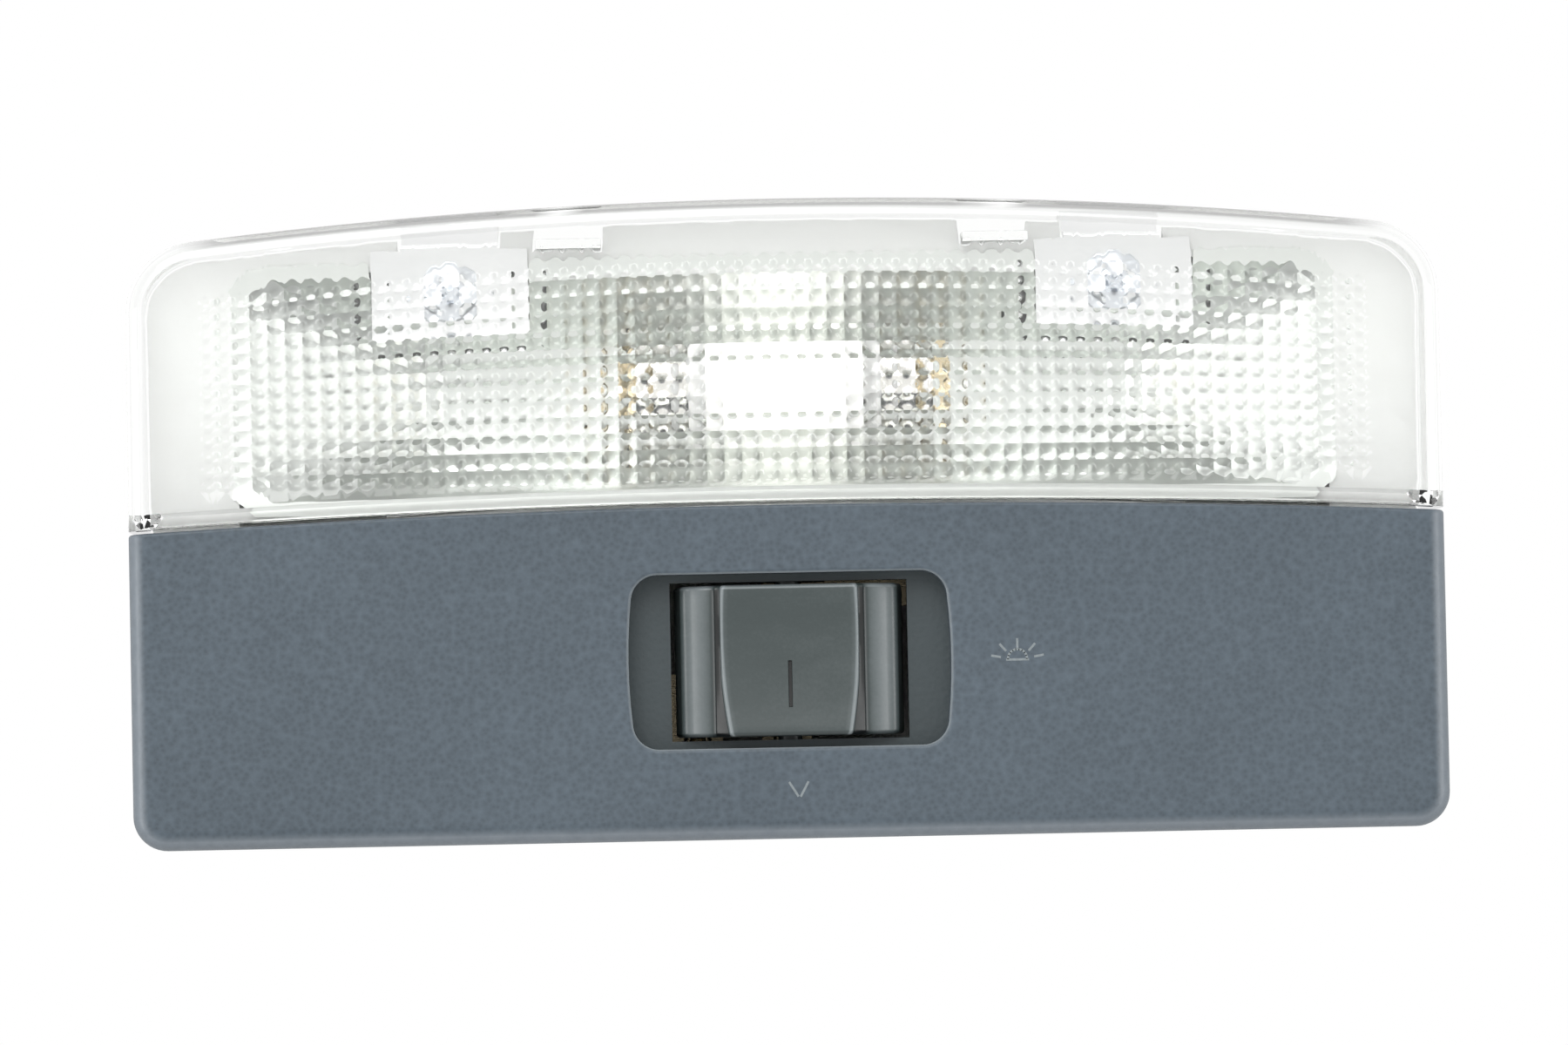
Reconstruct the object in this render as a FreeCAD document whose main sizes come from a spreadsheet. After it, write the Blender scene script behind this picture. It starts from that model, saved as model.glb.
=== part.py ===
import FreeCAD
import Part
import Sketcher
import os
import re

# Car courtesy light: clear prismatic lens, dark switch panel with a rocker, white base tray.
# Frame: X along the width, Y from the switch panel to the lens, Z from the roof to the cabin.
# The roof plane is z = 0; the middle of the outline is x = y = 0. All sizes are in millimetres.

DIMENSIONS = {
    # outline of the two covers
    "lamp_width": 160,
    "lamp_depth": 78,
    "panel_depth": 38.6,
    "joint_bow": 2.2,
    "front_bow": 4.9,
    "panel_corner": 4.2,
    "lens_corner": 9,
    "face_height": 14,
    "edge_round": 2.4,
    "joint_round": 0.4,
    "wall": 2,
    "joint_gap": 0.4,
    "lens_plate": 2.2,
    "panel_plate": 2.5,
    "foot_gap": 0.3,
    "cover_fit": 0.35,
    "joint_foot": 3.2,
    # prism field inside the lens
    "prism_pitch": 2.1,
    "prism_depth": 0.9,
    "prism_land": 0.25,
    "field_side_margin": 8.8,
    "field_front_margin": 6.9,
    "field_rear_margin": 2.4,
    "groove_reach": 0.6,
    # snap legs and tongues of the covers
    "hook_x": 26,
    "hook_width": 8,
    "hook_thick": 1.2,
    "hook_depth": 6.5,
    "hook_nib": 1,
    "hook_nib_high": 2.2,
    "tongue_x": 45,
    "tongue_width": 8,
    "tongue_high": 1.8,
    "tongue_reach": 1.4,
    "leg_rear": 27,
    "leg_width": 9,
    "leg_thick": 1.3,
    "leg_depth": 8,
    "snap_play": 0.25,
    # base tray
    "flange_thick": 2,
    "box_width": 138,
    "box_rear_margin": 8,
    "box_front_margin": 6,
    "box_depth": 18,
    "box_corner": 8,
    "box_wall": 2,
    "floor_thick": 2,
    "partition_shift": 1.6,
    "partition_thick": 1.6,
    "roof_hook_x": 45,
    "roof_hook_width": 10,
    "roof_hook_reach": 4,
    "roof_sheet": 3,
    "roof_hook_thick": 2,
    # reflector
    "sheet": 0.5,
    "rim_inset": 1.2,
    "lip_width": 1.6,
    "trough_side_slope": 22,
    "floor_front_reach": 4.6,
    "floor_rear_reach": 6.7,
    "trough_depth": 11.5,
    "trough_corner": 3,
    # spring clips and their screws
    "clip_x": 40.7,
    "clip_plate_width": 19,
    "clip_leg_width": 12,
    "clip_steel": 0.8,
    "clip_plate_depth": 9.8,
    "clip_stand": 0.5,
    "clip_bow": 3.2,
    "clip_drop": 15,
    "clip_play": 0.4,
    "screw_inset": 4.7,
    "screw_head_radius": 3.4,
    "screw_head_high": 2.3,
    "screw_radius": 1.5,
    "screw_length": 11,
    "screw_slot": 0.9,
    "boss_radius": 3.1,
    "hole_play": 0.06,
    # festoon bulb
    "bulb_shift": 0.3,
    "bulb_z": -3,
    "bulb_length": 41,
    "glass_radius": 5.25,
    "glass_wall": 0.6,
    "glass_length": 21,
    "neck_radius": 3.85,
    "shoulder": 2.2,
    "cap_radius": 4.25,
    "cap_wall": 0.3,
    "cap_length": 8,
    "cap_cone": 3.5,
    "cap_tip_radius": 1.4,
    "neck_in_cap": 3,
    "filament_radius": 0.25,
    "filament_length": 12,
    "lead_radius": 0.3,
    # contact strips
    "brass": 0.6,
    "blade_inset": 1.2,
    "bulb_blade_width": 7,
    "bulb_blade_top": 4,
    "run_width": 4,
    "terminal_width": 6.3,
    "terminal_thick": 0.8,
    "terminal_reach": 7.5,
    "terminal_pitch": 11.25,
    "slot_play": 0.3,
    "rivet_radius": 1.2,
    "rivet_head": 1.8,
    "rivet_head_high": 0.8,
    "rivet_rear_stand": 9.2,
    "rivet_front_stand": 6.8,
    # switch recess and rocker
    "switch_rear": 21.7,
    "recess_width": 39.2,
    "recess_height": 21.2,
    "recess_bow": 0.8,
    "recess_corner": 3.2,
    "recess_depth": 4.2,
    "recess_round": 0.5,
    "tub_wall": 1.6,
    "tub_floor": 1.8,
    "pivot_z": 6,
    "pivot_radius": 1.5,
    "pivot_play": 0.05,
    "bearing_half": 4.5,
    "bearing_thick": 2,
    "bearing_low": 2.4,
    "rocker_height": 18.4,
    "rocker_gap": 0.45,
    "rocker_end_radius": 14,
    "rocker_wing": 6.3,
    "wing_root": 8,
    "rocker_skirt": 1.4,
    "rocker_skin": 1.5,
    "grip_base": 8.9,
    "grip_top": 6.9,
    "grip_rise": 2.1,
    "grip_dish": 1.15,
    "index_length": 5.6,
    "index_width": 0.5,
    "index_deep": 0.3,
    "index_y": 2.9,
    "wing_round": 0.9,
    # rocker stem, spring and bridge
    "stem_half": 3.4,
    "stem_low": 7.2,
    "bore_radius": 2.3,
    "bore_top": 2.2,
    "plunger_play": 0.15,
    "plunger_top": 4.8,
    "plunger_low": 9.4,
    "spring_wire": 0.45,
    "spring_coils": 5,
    "bridge_thick": 0.7,
    "bridge_half_x": 1.3,
    "bridge_half_y": 4.2,
    "button_y": 2.6,
    "button_radius": 1,
    "track_radius": 12,
    "track_play": 0.25,
    "bed_half_x": 7,
    "bed_half_y": 7,
    "pad_half": 1.5,
    "door_half": 0.75,
    "pad_gap": 0.35,
    "pad_reach": 2.9,
}

# Places that follow from the dimensions.
PLACES = {
    "box_rear": "(lamp_depth / 2 - box_rear_margin)",
    "box_front": "(lamp_depth / 2 - box_front_margin)",
    "leg_y": "(leg_rear - lamp_depth / 2)",
    "partition_y": "(panel_depth - lamp_depth / 2 + partition_shift)",
    "clip_leg_y": "(box_front + clip_stand)",
    "clip_rear": "(clip_leg_y - clip_plate_depth)",
    "screw_y": "(box_front - screw_inset)",
    "bulb_y": "((partition_y + partition_thick + box_front - box_wall) / 2 + bulb_shift)",
}

doc = FreeCAD.newDocument("courtesy_light")
sheet = doc.addObject("Spreadsheet::Sheet", "Dimensions")
for row, (alias, number) in enumerate(DIMENSIONS.items(), 1):
    sheet.set(f"A{row}", alias)
    sheet.set(f"B{row}", str(number))
    sheet.setAlias(f"B{row}", alias)
doc.recompute()


def bound(expression):
    """The expression with every place written out and every dimension name pointing at its cell."""

    def cell(found):
        name = found.group(0)
        if name in PLACES:
            return bound(PLACES[name])
        return f"Dimensions.{name}" if name in DIMENSIONS else name

    return re.sub(r"[a-z][a-z_]*", cell, str(expression))


def value(expression):
    """The number that an expression gives with the present cells."""
    result = sheet.evalExpression(bound(expression))
    return float(getattr(result, "Value", result))


def drive(target, prop, expression):
    """Bind one property of a document object to the cells."""
    target.setExpression(prop, bound(expression))


HALF = "(lamp_width / 2)"
REAR = "(-lamp_depth / 2)"
JOINT_END = "(panel_depth - lamp_depth / 2)"
FRONT_R = f"(({HALF}^2 + front_bow^2) / (2 * front_bow))"
JOINT_R = f"(({HALF}^2 + joint_bow^2) / (2 * joint_bow))"
SWITCH_Y = "(switch_rear - lamp_depth / 2)"
FLOOR_Z = "(floor_thick - box_depth)"
BOX_IN = "(box_width / 2 - box_wall)"
RIM_Z = "flange_thick"
BED_Z = "(pivot_z - track_radius - brass)"
BLADE_X = "(bulb_length / 2 - blade_inset)"


def front_radius(inset):
    """Radius of the bowed front edge, moved inward."""
    return f"({FRONT_R} - ({inset}))"


def front_y(inset, x):
    """Height of the bowed front edge, moved inward, at one x."""
    return f"(lamp_depth / 2 - {FRONT_R} + sqrt({front_radius(inset)}^2 - ({x})^2))"


def joint_radius(shift):
    """Radius of the bowed joint line, moved towards the lens."""
    return f"({JOINT_R} + ({shift}))"


def joint_y(shift, x):
    """Height of the bowed joint line, moved towards the lens, at one x."""
    return f"({JOINT_END} + joint_bow - {JOINT_R} + sqrt({joint_radius(shift)}^2 - ({x})^2))"


def rounded_front(inset, first):
    """Corners and arcs of the bowed front with its two rounded corners, from right to left.

    The first arc gets the index that is given, so that other edges can come before it.
    """
    bow = front_radius(inset)
    turn = f"(lens_corner - ({inset}))"
    middle = f"(lamp_depth / 2 - {FRONT_R})"
    x = f"({HALF} - ({inset}))"
    centre_x = f"({x} - {turn})"
    rise = f"sqrt(({bow} - {turn})^2 - {centre_x}^2)"
    centre_y = f"({middle} + {rise})"
    meet_x = f"({centre_x} * {bow} / ({bow} - {turn}))"
    meet_y = f"({middle} + {rise} * {bow} / ({bow} - {turn}))"
    half_way = f"({centre_x} + 0.72 * {turn})"
    half_high = f"({centre_y} + 0.69 * {turn})"
    corners = [(x, centre_y), (meet_x, meet_y), (f"-{meet_x}", meet_y), (f"-{x}", centre_y)]
    arcs = {
        first: (turn, half_way, half_high),
        first + 1: (bow, "0", front_y(inset, "0")),
        first + 2: (turn, f"-{half_way}", half_high),
    }
    return corners, arcs


class Moulding:
    """A body with helpers for sketches, pads, pockets and rounded edges."""

    def __init__(self, label):
        self.body = doc.addObject("PartDesign::Body", label)
        self.body.Label = label
        self.planes = {feature.Role: feature for feature in self.body.Origin.OriginFeatures}
        self.count = 0

    def name(self, stem):
        """A name of its own for each feature of the body."""
        self.count += 1
        return f"{self.body.Name}_{stem}_{self.count}"

    def sketch(self, stem, plane, offset):
        """An empty sketch on an origin plane, moved along the plane's normal."""
        made = self.body.newObject("Sketcher::SketchObject", self.name(stem))
        made.AttachmentSupport = (self.planes[plane], "")
        made.MapMode = "FlatFace"
        drive(made, "AttachmentOffset.Base.z", offset)
        return made

    def outline(self, stem, corners, offset="0", arcs=None, plane="XY_Plane"):
        """A closed outline whose corners and arc radii are bound to the cells."""
        made = self.sketch(stem, plane, offset)
        arcs = arcs or {}
        points = [FreeCAD.Vector(value(x), value(y), 0) for x, y in corners]
        ends = []
        for index, start in enumerate(points):
            stop = points[(index + 1) % len(points)]
            if index in arcs:
                radius, mid_x, mid_y = arcs[index]
                mid = FreeCAD.Vector(value(mid_x), value(mid_y), 0)
                turned = (mid - start).cross(stop - mid).z < 0
                curve = made.addGeometry(Part.Arc(stop, mid, start) if turned else Part.Arc(start, mid, stop))
                ends.append((2, 1) if turned else (1, 2))
                limit = made.addConstraint(Sketcher.Constraint("Radius", curve, value(radius)))
                drive(made, f"Constraints[{limit}]", radius)
            else:
                made.addGeometry(Part.LineSegment(start, stop))
                ends.append((1, 2))
        for index in range(len(points)):
            after = (index + 1) % len(points)
            made.addConstraint(Sketcher.Constraint("Coincident", index, ends[index][1], after, ends[after][0]))
        for index, (x, y) in enumerate(corners):
            for kind, place in (("DistanceX", x), ("DistanceY", y)):
                limit = made.addConstraint(
                    Sketcher.Constraint(kind, -1, 1, index, ends[index][0], value(place))
                )
                drive(made, f"Constraints[{limit}]", place)
        return made

    def circle(self, stem, x, y, radius, offset="0", plane="XY_Plane"):
        """A circle whose centre and radius are bound to the cells."""
        made = self.sketch(stem, plane, offset)
        centre = FreeCAD.Vector(value(x), value(y), 0)
        ring = made.addGeometry(Part.Circle(centre, FreeCAD.Vector(0, 0, 1), value(radius)))
        limit = made.addConstraint(Sketcher.Constraint("Radius", ring, value(radius)))
        drive(made, f"Constraints[{limit}]", radius)
        for kind, place in (("DistanceX", x), ("DistanceY", y)):
            limit = made.addConstraint(Sketcher.Constraint(kind, -1, 1, ring, 3, value(place)))
            drive(made, f"Constraints[{limit}]", place)
        return made

    def extrude(self, sketch, length, cut=False, both=False):
        """Pad a sketch along its normal, or pocket it against its normal."""
        kind = "PartDesign::Pocket" if cut else "PartDesign::Pad"
        made = self.body.newObject(kind, self.name("cut" if cut else "pad"))
        made.Profile = sketch
        made.Midplane = both
        drive(made, "Length", length)
        self.body.Tip = made
        return made

    def block(self, stem, x, y, z, cut=False):
        """A box between two bounds on each axis, added or cut away."""
        corners = [(x[0], y[0]), (x[1], y[0]), (x[1], y[1]), (x[0], y[1])]
        made = self.outline(stem, corners, z[1] if cut else z[0])
        return self.extrude(made, f"({z[1]}) - ({z[0]})", cut)

    def disc(self, stem, x, y, radius, z, cut=False):
        """An upright cylinder between two heights, added or cut away."""
        made = self.circle(stem, x, y, radius, z[1] if cut else z[0])
        return self.extrude(made, f"({z[1]}) - ({z[0]})", cut)

    def turn(self, sketch, cut=False):
        """Turn a sketch fully around its own horizontal axis."""
        kind = "PartDesign::Groove" if cut else "PartDesign::Revolution"
        made = self.body.newObject(kind, self.name("turn"))
        made.Profile = sketch
        made.ReferenceAxis = (sketch, ["H_Axis"])
        made.Angle = 360
        self.body.Tip = made
        return made

    def loft(self, low, high, cut=False):
        """Join two outlines by flat or curved sides."""
        kind = "PartDesign::SubtractiveLoft" if cut else "PartDesign::AdditiveLoft"
        made = self.body.newObject(kind, self.name("loft"))
        made.Profile = low
        made.Sections = [high]
        made.Ruled = True
        self.body.Tip = made
        return made

    def repeat(self, feature, axis, spacing, number):
        """Repeat a feature along an origin axis at an even spacing."""
        made = self.body.newObject("PartDesign::LinearPattern", self.name("row"))
        made.Originals = [feature]
        made.Direction = (self.planes[axis], "")
        drive(made, "Length", f"({spacing}) * (({number}) - 1)")
        drive(made, "Occurrences", number)
        self.body.Tip = made
        return made

    def round(self, radius, test):
        """Round every edge of the present shape that a test picks."""
        doc.recompute()
        tip = self.body.Tip
        names = [f"Edge{i}" for i, edge in enumerate(tip.Shape.Edges, 1) if test(edge)]
        made = self.body.newObject("PartDesign::Fillet", self.name("round"))
        made.Base = (tip, names)
        drive(made, "Radius", radius)
        self.body.Tip = made
        return made


def near(one, other, reach=0.02):
    """True where two numbers agree."""
    return abs(one - other) < reach


def upright(edge, x, y):
    """True for an edge along Z that stands at plus or minus x, and at y."""
    box = edge.BoundBox
    straight = box.XLength < 0.01 and box.YLength < 0.01 and box.ZLength > 0.5
    return straight and near(abs(box.XMin), value(x)) and near(box.YMin, value(y))


def level(edge, z):
    """True for an edge that lies at one height."""
    box = edge.BoundBox
    return near(box.ZMin, value(z), 0.005) and near(box.ZMax, value(z), 0.005)


def sides():
    """The two sides of the lamp, as a word and a sign."""
    return (("left", "-1"), ("right", "1"))


def span(sign, centre, width):
    """Bounds of a width around a centre on one side of the lamp."""
    return (f"{sign} * {centre} - ({width}) / 2", f"{sign} * {centre} + ({width}) / 2")


def make_lens():
    """Clear cover: plate, walls, prism field, two snap legs and two tongues."""
    part = Moulding("lens")
    rear = "joint_gap / 2"
    top = "face_height"

    def shell(inset, stem, z):
        x = f"({HALF} - ({inset}))"
        back = f"({rear} + ({inset}))"
        front, arcs = rounded_front(inset, 2)
        arcs[0] = (joint_radius(back), "0", joint_y(back, "0"))
        return part.outline(stem, [(f"-{x}", joint_y(back, x)), (x, joint_y(back, x))] + front, z, arcs)

    part.extrude(shell("0", "outside", "foot_gap"), f"{top} - foot_gap")
    seam = value(joint_y(rear, "0"))
    part.round("edge_round", lambda e: level(e, top) and e.BoundBox.YMax > seam + 0.1)
    part.round("joint_round", lambda e: level(e, top) and e.BoundBox.YMax < seam + 0.1)
    part.extrude(shell("wall", "inside", f"{top} - lens_plate"), f"{top} - lens_plate - foot_gap", cut=True)
    # the wall along the joint ends above the reflector's rim
    part.block(
        "joint_relief",
        (f"-{HALF} + wall", f"{HALF} - wall"),
        (f"{JOINT_END} - 1", f"{joint_y(rear, '0')} + wall + 0.1"),
        ("0", "joint_foot"),
        cut=True,
    )
    # slab for the prisms, bowed like the front edge
    side = f"({HALF} - field_side_margin)"
    low_y = f"({joint_y(rear, '0')} + field_rear_margin)"
    slab = part.outline(
        "field",
        [
            (f"-{side}", low_y),
            (side, low_y),
            (side, front_y("field_front_margin", side)),
            (f"-{side}", front_y("field_front_margin", side)),
        ],
        f"{top} - lens_plate - prism_depth",
        {2: (front_radius("field_front_margin"), "0", front_y("field_front_margin", "0"))},
    )
    part.extrude(slab, "prism_depth")
    # snap legs along the front and tongues along the joint
    leg_y = "(box_front + snap_play)"
    for word, sign in sides():
        x = span(sign, "hook_x", "hook_width")
        part.block(
            f"leg_{word}",
            x,
            (leg_y, f"{leg_y} + hook_thick"),
            ("-hook_depth", f"{top} - lens_plate"),
        )
        part.block(
            f"nib_{word}",
            x,
            (f"{leg_y} - hook_nib", leg_y),
            ("-hook_depth", "hook_nib_high - hook_depth"),
        )
        x = span(sign, "tongue_x", "tongue_width")
        edge = joint_y(rear, "tongue_x + tongue_width / 2")
        part.block(
            f"tongue_{word}",
            x,
            (f"{edge} - joint_gap - wall - tongue_reach", f"{edge} + wall / 2"),
            ("joint_foot", "joint_foot + tongue_high"),
        )
    # crossed grooves that leave small four-sided prisms
    deep_y = front_y("field_front_margin", "0")
    rows = f"floor(({deep_y} - {low_y}) / prism_pitch)"
    row_y = f"({low_y} + (({deep_y} - {low_y}) - ({rows} - 1) * prism_pitch) / 2)"
    columns = f"floor(2 * {side} / prism_pitch)"
    column_x = f"(-({columns} - 1) * prism_pitch / 2)"
    mouth = "(prism_pitch - prism_land) / 2"
    base_z = f"({top} - lens_plate - prism_depth)"
    root_z = f"({top} - lens_plate)"

    def vee(stem, plane, at, normal):
        corners = [(f"{at} - {mouth}", base_z), (f"{at} + {mouth}", base_z), (at, root_z)]
        return part.outline(stem, corners, normal, plane=plane)

    cut = part.extrude(
        vee("row", "YZ_Plane", row_y, "0"),
        f"2 * ({side} + groove_reach)",
        cut=True,
        both=True,
    )
    part.repeat(cut, "Y_Axis", "prism_pitch", rows)
    middle = f"-(({deep_y} + {low_y}) / 2)"
    reach = f"({deep_y} - {low_y}) + 0.1"
    cut = part.extrude(vee("column", "XZ_Plane", column_x, middle), reach, cut=True, both=True)
    part.repeat(cut, "X_Axis", "prism_pitch", columns)
    return part


def make_switch_panel():
    """Dark cover half: plate, walls, switch recess, rocker bearings and snap legs."""
    part = Moulding("switch_panel")
    ahead = "(-joint_gap / 2)"
    top = "face_height"

    def shell(inset, stem, z):
        x = f"({HALF} - ({inset}))"
        back = f"({ahead} - ({inset}))"
        corners = [
            (f"-{x}", f"{REAR} + ({inset})"),
            (x, f"{REAR} + ({inset})"),
            (x, joint_y(back, x)),
            (f"-{x}", joint_y(back, x)),
        ]
        return part.outline(stem, corners, z, {2: (joint_radius(back), "0", joint_y(back, "0"))})

    part.extrude(shell("0", "outside", "foot_gap"), f"{top} - foot_gap")
    part.round("panel_corner", lambda e: upright(e, HALF, REAR))
    seam = value(joint_y(ahead, HALF))

    def outer(edge):
        return level(edge, top) and edge.BoundBox.YMin < seam - 0.1

    part.round("edge_round", outer)
    part.round("joint_round", lambda e: level(e, top) and e.BoundBox.YMin > seam - 0.1)
    part.extrude(
        shell("wall", "inside", f"{top} - panel_plate"),
        f"{top} - panel_plate - foot_gap",
        cut=True,
    )
    part.round("panel_corner - wall", lambda e: upright(e, f"({HALF} - wall)", f"({REAR} + wall)"))
    part.block(
        "joint_relief",
        (f"-{HALF} + wall", f"{HALF} - wall"),
        (f"{joint_y(ahead, HALF)} - wall - 0.1", f"{joint_y(ahead, '0')} + 0.1"),
        ("0", "flange_thick + foot_gap"),
        cut=True,
    )
    # windows for the lens tongues
    for word, sign in sides():
        edge = joint_y(ahead, "tongue_x")
        part.block(
            f"window_{word}",
            span(sign, "tongue_x", "tongue_width + 2 * snap_play"),
            (f"{edge} - wall - 0.6", f"{edge} + 0.6"),
            ("joint_foot - snap_play", "joint_foot + tongue_high + snap_play"),
            cut=True,
        )
    # tub under the plate, then the recess and the rocker opening in it
    floor_z = f"({top} - recess_depth)"

    def recess(stem, grow, z):
        x = f"(recess_width / 2 - recess_bow + ({grow}))"
        y = f"(recess_height / 2 + ({grow}))"
        low = f"({SWITCH_Y} - {y})"
        high = f"({SWITCH_Y} + {y})"
        bend = f"({y}^2 + recess_bow^2) / (2 * recess_bow)"
        out = f"({x} + recess_bow)"
        corners = [(f"-{x}", low), (x, low), (x, high), (f"-{x}", high)]
        return part.outline(stem, corners, z, {1: (bend, out, SWITCH_Y), 3: (bend, f"-{out}", SWITCH_Y)})

    tub_z = f"({floor_z} - tub_floor)"
    part.extrude(recess("tub", "tub_wall", tub_z), f"{top} - panel_plate - {tub_z}")
    part.extrude(recess("recess", "0", top), "recess_depth", cut=True)
    corner_x = "recess_width / 2 - recess_bow"
    corner_y = "recess_height / 2"
    part.round(
        "recess_corner",
        lambda e: any(upright(e, corner_x, f"{SWITCH_Y} {way} {corner_y}") for way in "+-"),
    )
    rim_x = value("recess_width / 2")

    def rim(edge):
        box = edge.BoundBox
        inside = abs(box.Center.x) < rim_x + 0.1 and near(
            box.Center.y,
            value(SWITCH_Y),
            value(corner_y) + 0.1,
        )
        return level(edge, top) and inside and box.XMax < rim_x + 0.1 and box.XMin > -rim_x - 0.1

    part.round("recess_round", rim)
    part.block(
        "opening",
        ("-(rocker_end_radius + rocker_gap)", "rocker_end_radius + rocker_gap"),
        (f"{SWITCH_Y} - rocker_height / 2 - rocker_gap", f"{SWITCH_Y} + rocker_height / 2 + rocker_gap"),
        (f"{tub_z} - 1", f"{floor_z} + 0.1"),
        cut=True,
    )
    # bearing walls beside the opening
    near_y = "(rocker_height / 2 + rocker_gap)"
    for word, sign in (("rear", "-1"), ("front", "1")):
        bounds = [f"{SWITCH_Y} + {sign} * {near_y}", f"{SWITCH_Y} + {sign} * ({near_y} + bearing_thick)"]
        low, high = sorted(bounds, key=value)
        part.block(
            f"bearing_{word}",
            ("-bearing_half", "bearing_half"),
            (low, high),
            ("bearing_low", f"{tub_z} + 0.4"),
        )
    hole = part.circle(
        "bearing_hole",
        "0",
        "pivot_z",
        "pivot_radius + pivot_play",
        f"-{SWITCH_Y}",
        "XZ_Plane",
    )
    part.extrude(hole, f"2 * ({near_y} + bearing_thick) + 0.5", cut=True, both=True)
    # snap legs inside the two end walls of the tray
    for word, sign in sides():
        outer_x = f"({BOX_IN} - snap_play)"
        far = f"{sign} * {outer_x}"
        close = f"{sign} * ({outer_x} - leg_thick)"
        tip = f"{sign} * ({outer_x} + box_wall * 0.7)"
        y = (f"leg_y - leg_width / 2", f"leg_y + leg_width / 2")
        low, high = sorted((far, close), key=value)
        part.block(f"leg_{word}", (low, high), y, ("-leg_depth", f"{top} - panel_plate + 0.4"))
        low, high = sorted((far, tip), key=value)
        part.block(f"nib_{word}", (low, high), y, ("-leg_depth", "hook_nib_high - leg_depth"))
    return part


def make_base_tray():
    """White tray: flange on the roof, two chambers, bosses, contact bed, hooks and slots."""
    part = Moulding("base_tray")
    half_box = "(box_width / 2)"
    part.block("box", (f"-{half_box}", half_box), ("-box_rear", "box_front"), ("-box_depth", "0"))
    part.round(
        "box_corner",
        lambda e: upright(e, half_box, "box_front") or upright(e, half_box, "-box_rear"),
    )
    inset = "(wall + cover_fit)"
    x = f"({HALF} - {inset})"
    front, arcs = rounded_front(inset, 2)
    corners = [(f"-{x}", f"{REAR} + {inset}"), (x, f"{REAR} + {inset}")] + front
    part.extrude(part.outline("flange", corners, "0", arcs), "flange_thick")
    part.round("panel_corner - wall", lambda e: upright(e, x, f"{REAR} + {inset}"))
    split = "(partition_y + partition_thick)"
    turn = "(box_corner - box_wall)"
    near_y = "(box_front - box_wall)"
    far_y = "(box_wall - box_rear)"
    slant = f"(0.293 * {turn})"
    lamp = part.outline(
        "lamp_chamber",
        [
            (f"-{BOX_IN}", split),
            (BOX_IN, split),
            (BOX_IN, f"{near_y} - {turn}"),
            (f"{BOX_IN} - {turn}", near_y),
            (f"{turn} - {BOX_IN}", near_y),
            (f"-{BOX_IN}", f"{near_y} - {turn}"),
        ],
        RIM_Z,
        {
            2: (turn, f"{BOX_IN} - {slant}", f"{near_y} - {slant}"),
            4: (turn, f"{slant} - {BOX_IN}", f"{near_y} - {slant}"),
        },
    )
    part.extrude(lamp, f"{RIM_Z} - {FLOOR_Z}", cut=True)
    switch = part.outline(
        "switch_chamber",
        [
            (f"-{BOX_IN}", f"{far_y} + {turn}"),
            (f"{turn} - {BOX_IN}", far_y),
            (f"{BOX_IN} - {turn}", far_y),
            (BOX_IN, f"{far_y} + {turn}"),
            (BOX_IN, "partition_y"),
            (f"-{BOX_IN}", "partition_y"),
        ],
        RIM_Z,
        {
            0: (turn, f"{slant} - {BOX_IN}", f"{far_y} + {slant}"),
            2: (turn, f"{BOX_IN} - {slant}", f"{far_y} + {slant}"),
        },
    )
    part.extrude(switch, f"{RIM_Z} - {FLOOR_Z}", cut=True)
    # gates in the partition for the two strips
    run = "(run_width + 4 * slot_play)"
    for word, sign in sides():
        part.block(
            f"gate_{word}",
            span(sign, f"({BLADE_X} + run_width / 2)", run),
            ("partition_y - 0.1", f"{split} + 0.1"),
            (FLOOR_Z, f"{FLOOR_Z} + 3"),
            cut=True,
        )
        # screw boss against the front wall
        part.disc(f"boss_{word}", f"{sign} * clip_x", "screw_y", "boss_radius", (FLOOR_Z, RIM_Z))
        part.disc(
            f"pilot_{word}",
            f"{sign} * clip_x",
            "screw_y",
            "screw_radius + hole_play",
            (f"{RIM_Z} - screw_length - 1", RIM_Z),
            cut=True,
        )
        # notches in the flange for the clip leg and the lens leg
        part.block(
            f"clip_notch_{word}",
            span(sign, "clip_x", "clip_leg_width + 2 * clip_play"),
            ("box_front", "lamp_depth / 2"),
            ("-0.1", "flange_thick + 0.1"),
            cut=True,
        )
        part.block(
            f"hook_notch_{word}",
            span(sign, "hook_x", "hook_width + 2 * snap_play"),
            ("box_front", "lamp_depth / 2"),
            ("-0.1", "flange_thick + 0.1"),
            cut=True,
        )
        # pocket for the nib of the lens leg
        part.block(
            f"hook_pocket_{word}",
            span(sign, "hook_x", "hook_width + 2 * snap_play"),
            ("box_front - hook_nib", "box_front + 0.1"),
            ("-hook_depth - snap_play", "hook_nib_high - hook_depth + snap_play"),
            cut=True,
        )
        # window for the nib of the panel leg
        edge = sorted((f"{sign} * ({BOX_IN} - 0.5)", f"{sign} * ({half_box} + 0.5)"), key=value)
        part.block(
            f"leg_window_{word}",
            tuple(edge),
            ("leg_y - leg_width / 2 - snap_play", "leg_y + leg_width / 2 + snap_play"),
            ("-leg_depth - snap_play", "hook_nib_high - leg_depth + snap_play"),
            cut=True,
        )
        # hook behind the roof sheet
        part.block(
            f"roof_hook_{word}",
            span(sign, "roof_hook_x", "roof_hook_width"),
            ("-box_rear - roof_hook_reach", "-box_rear + 0.5"),
            ("-roof_sheet - roof_hook_thick", "-roof_sheet"),
        )
    # raised bed under the rocker for the sliding contacts
    part.block(
        "bed",
        ("-bed_half_x", "bed_half_x"),
        (f"{SWITCH_Y} - bed_half_y", f"{SWITCH_Y} + bed_half_y"),
        (f"{FLOOR_Z} - 0.5", BED_Z),
    )
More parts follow.
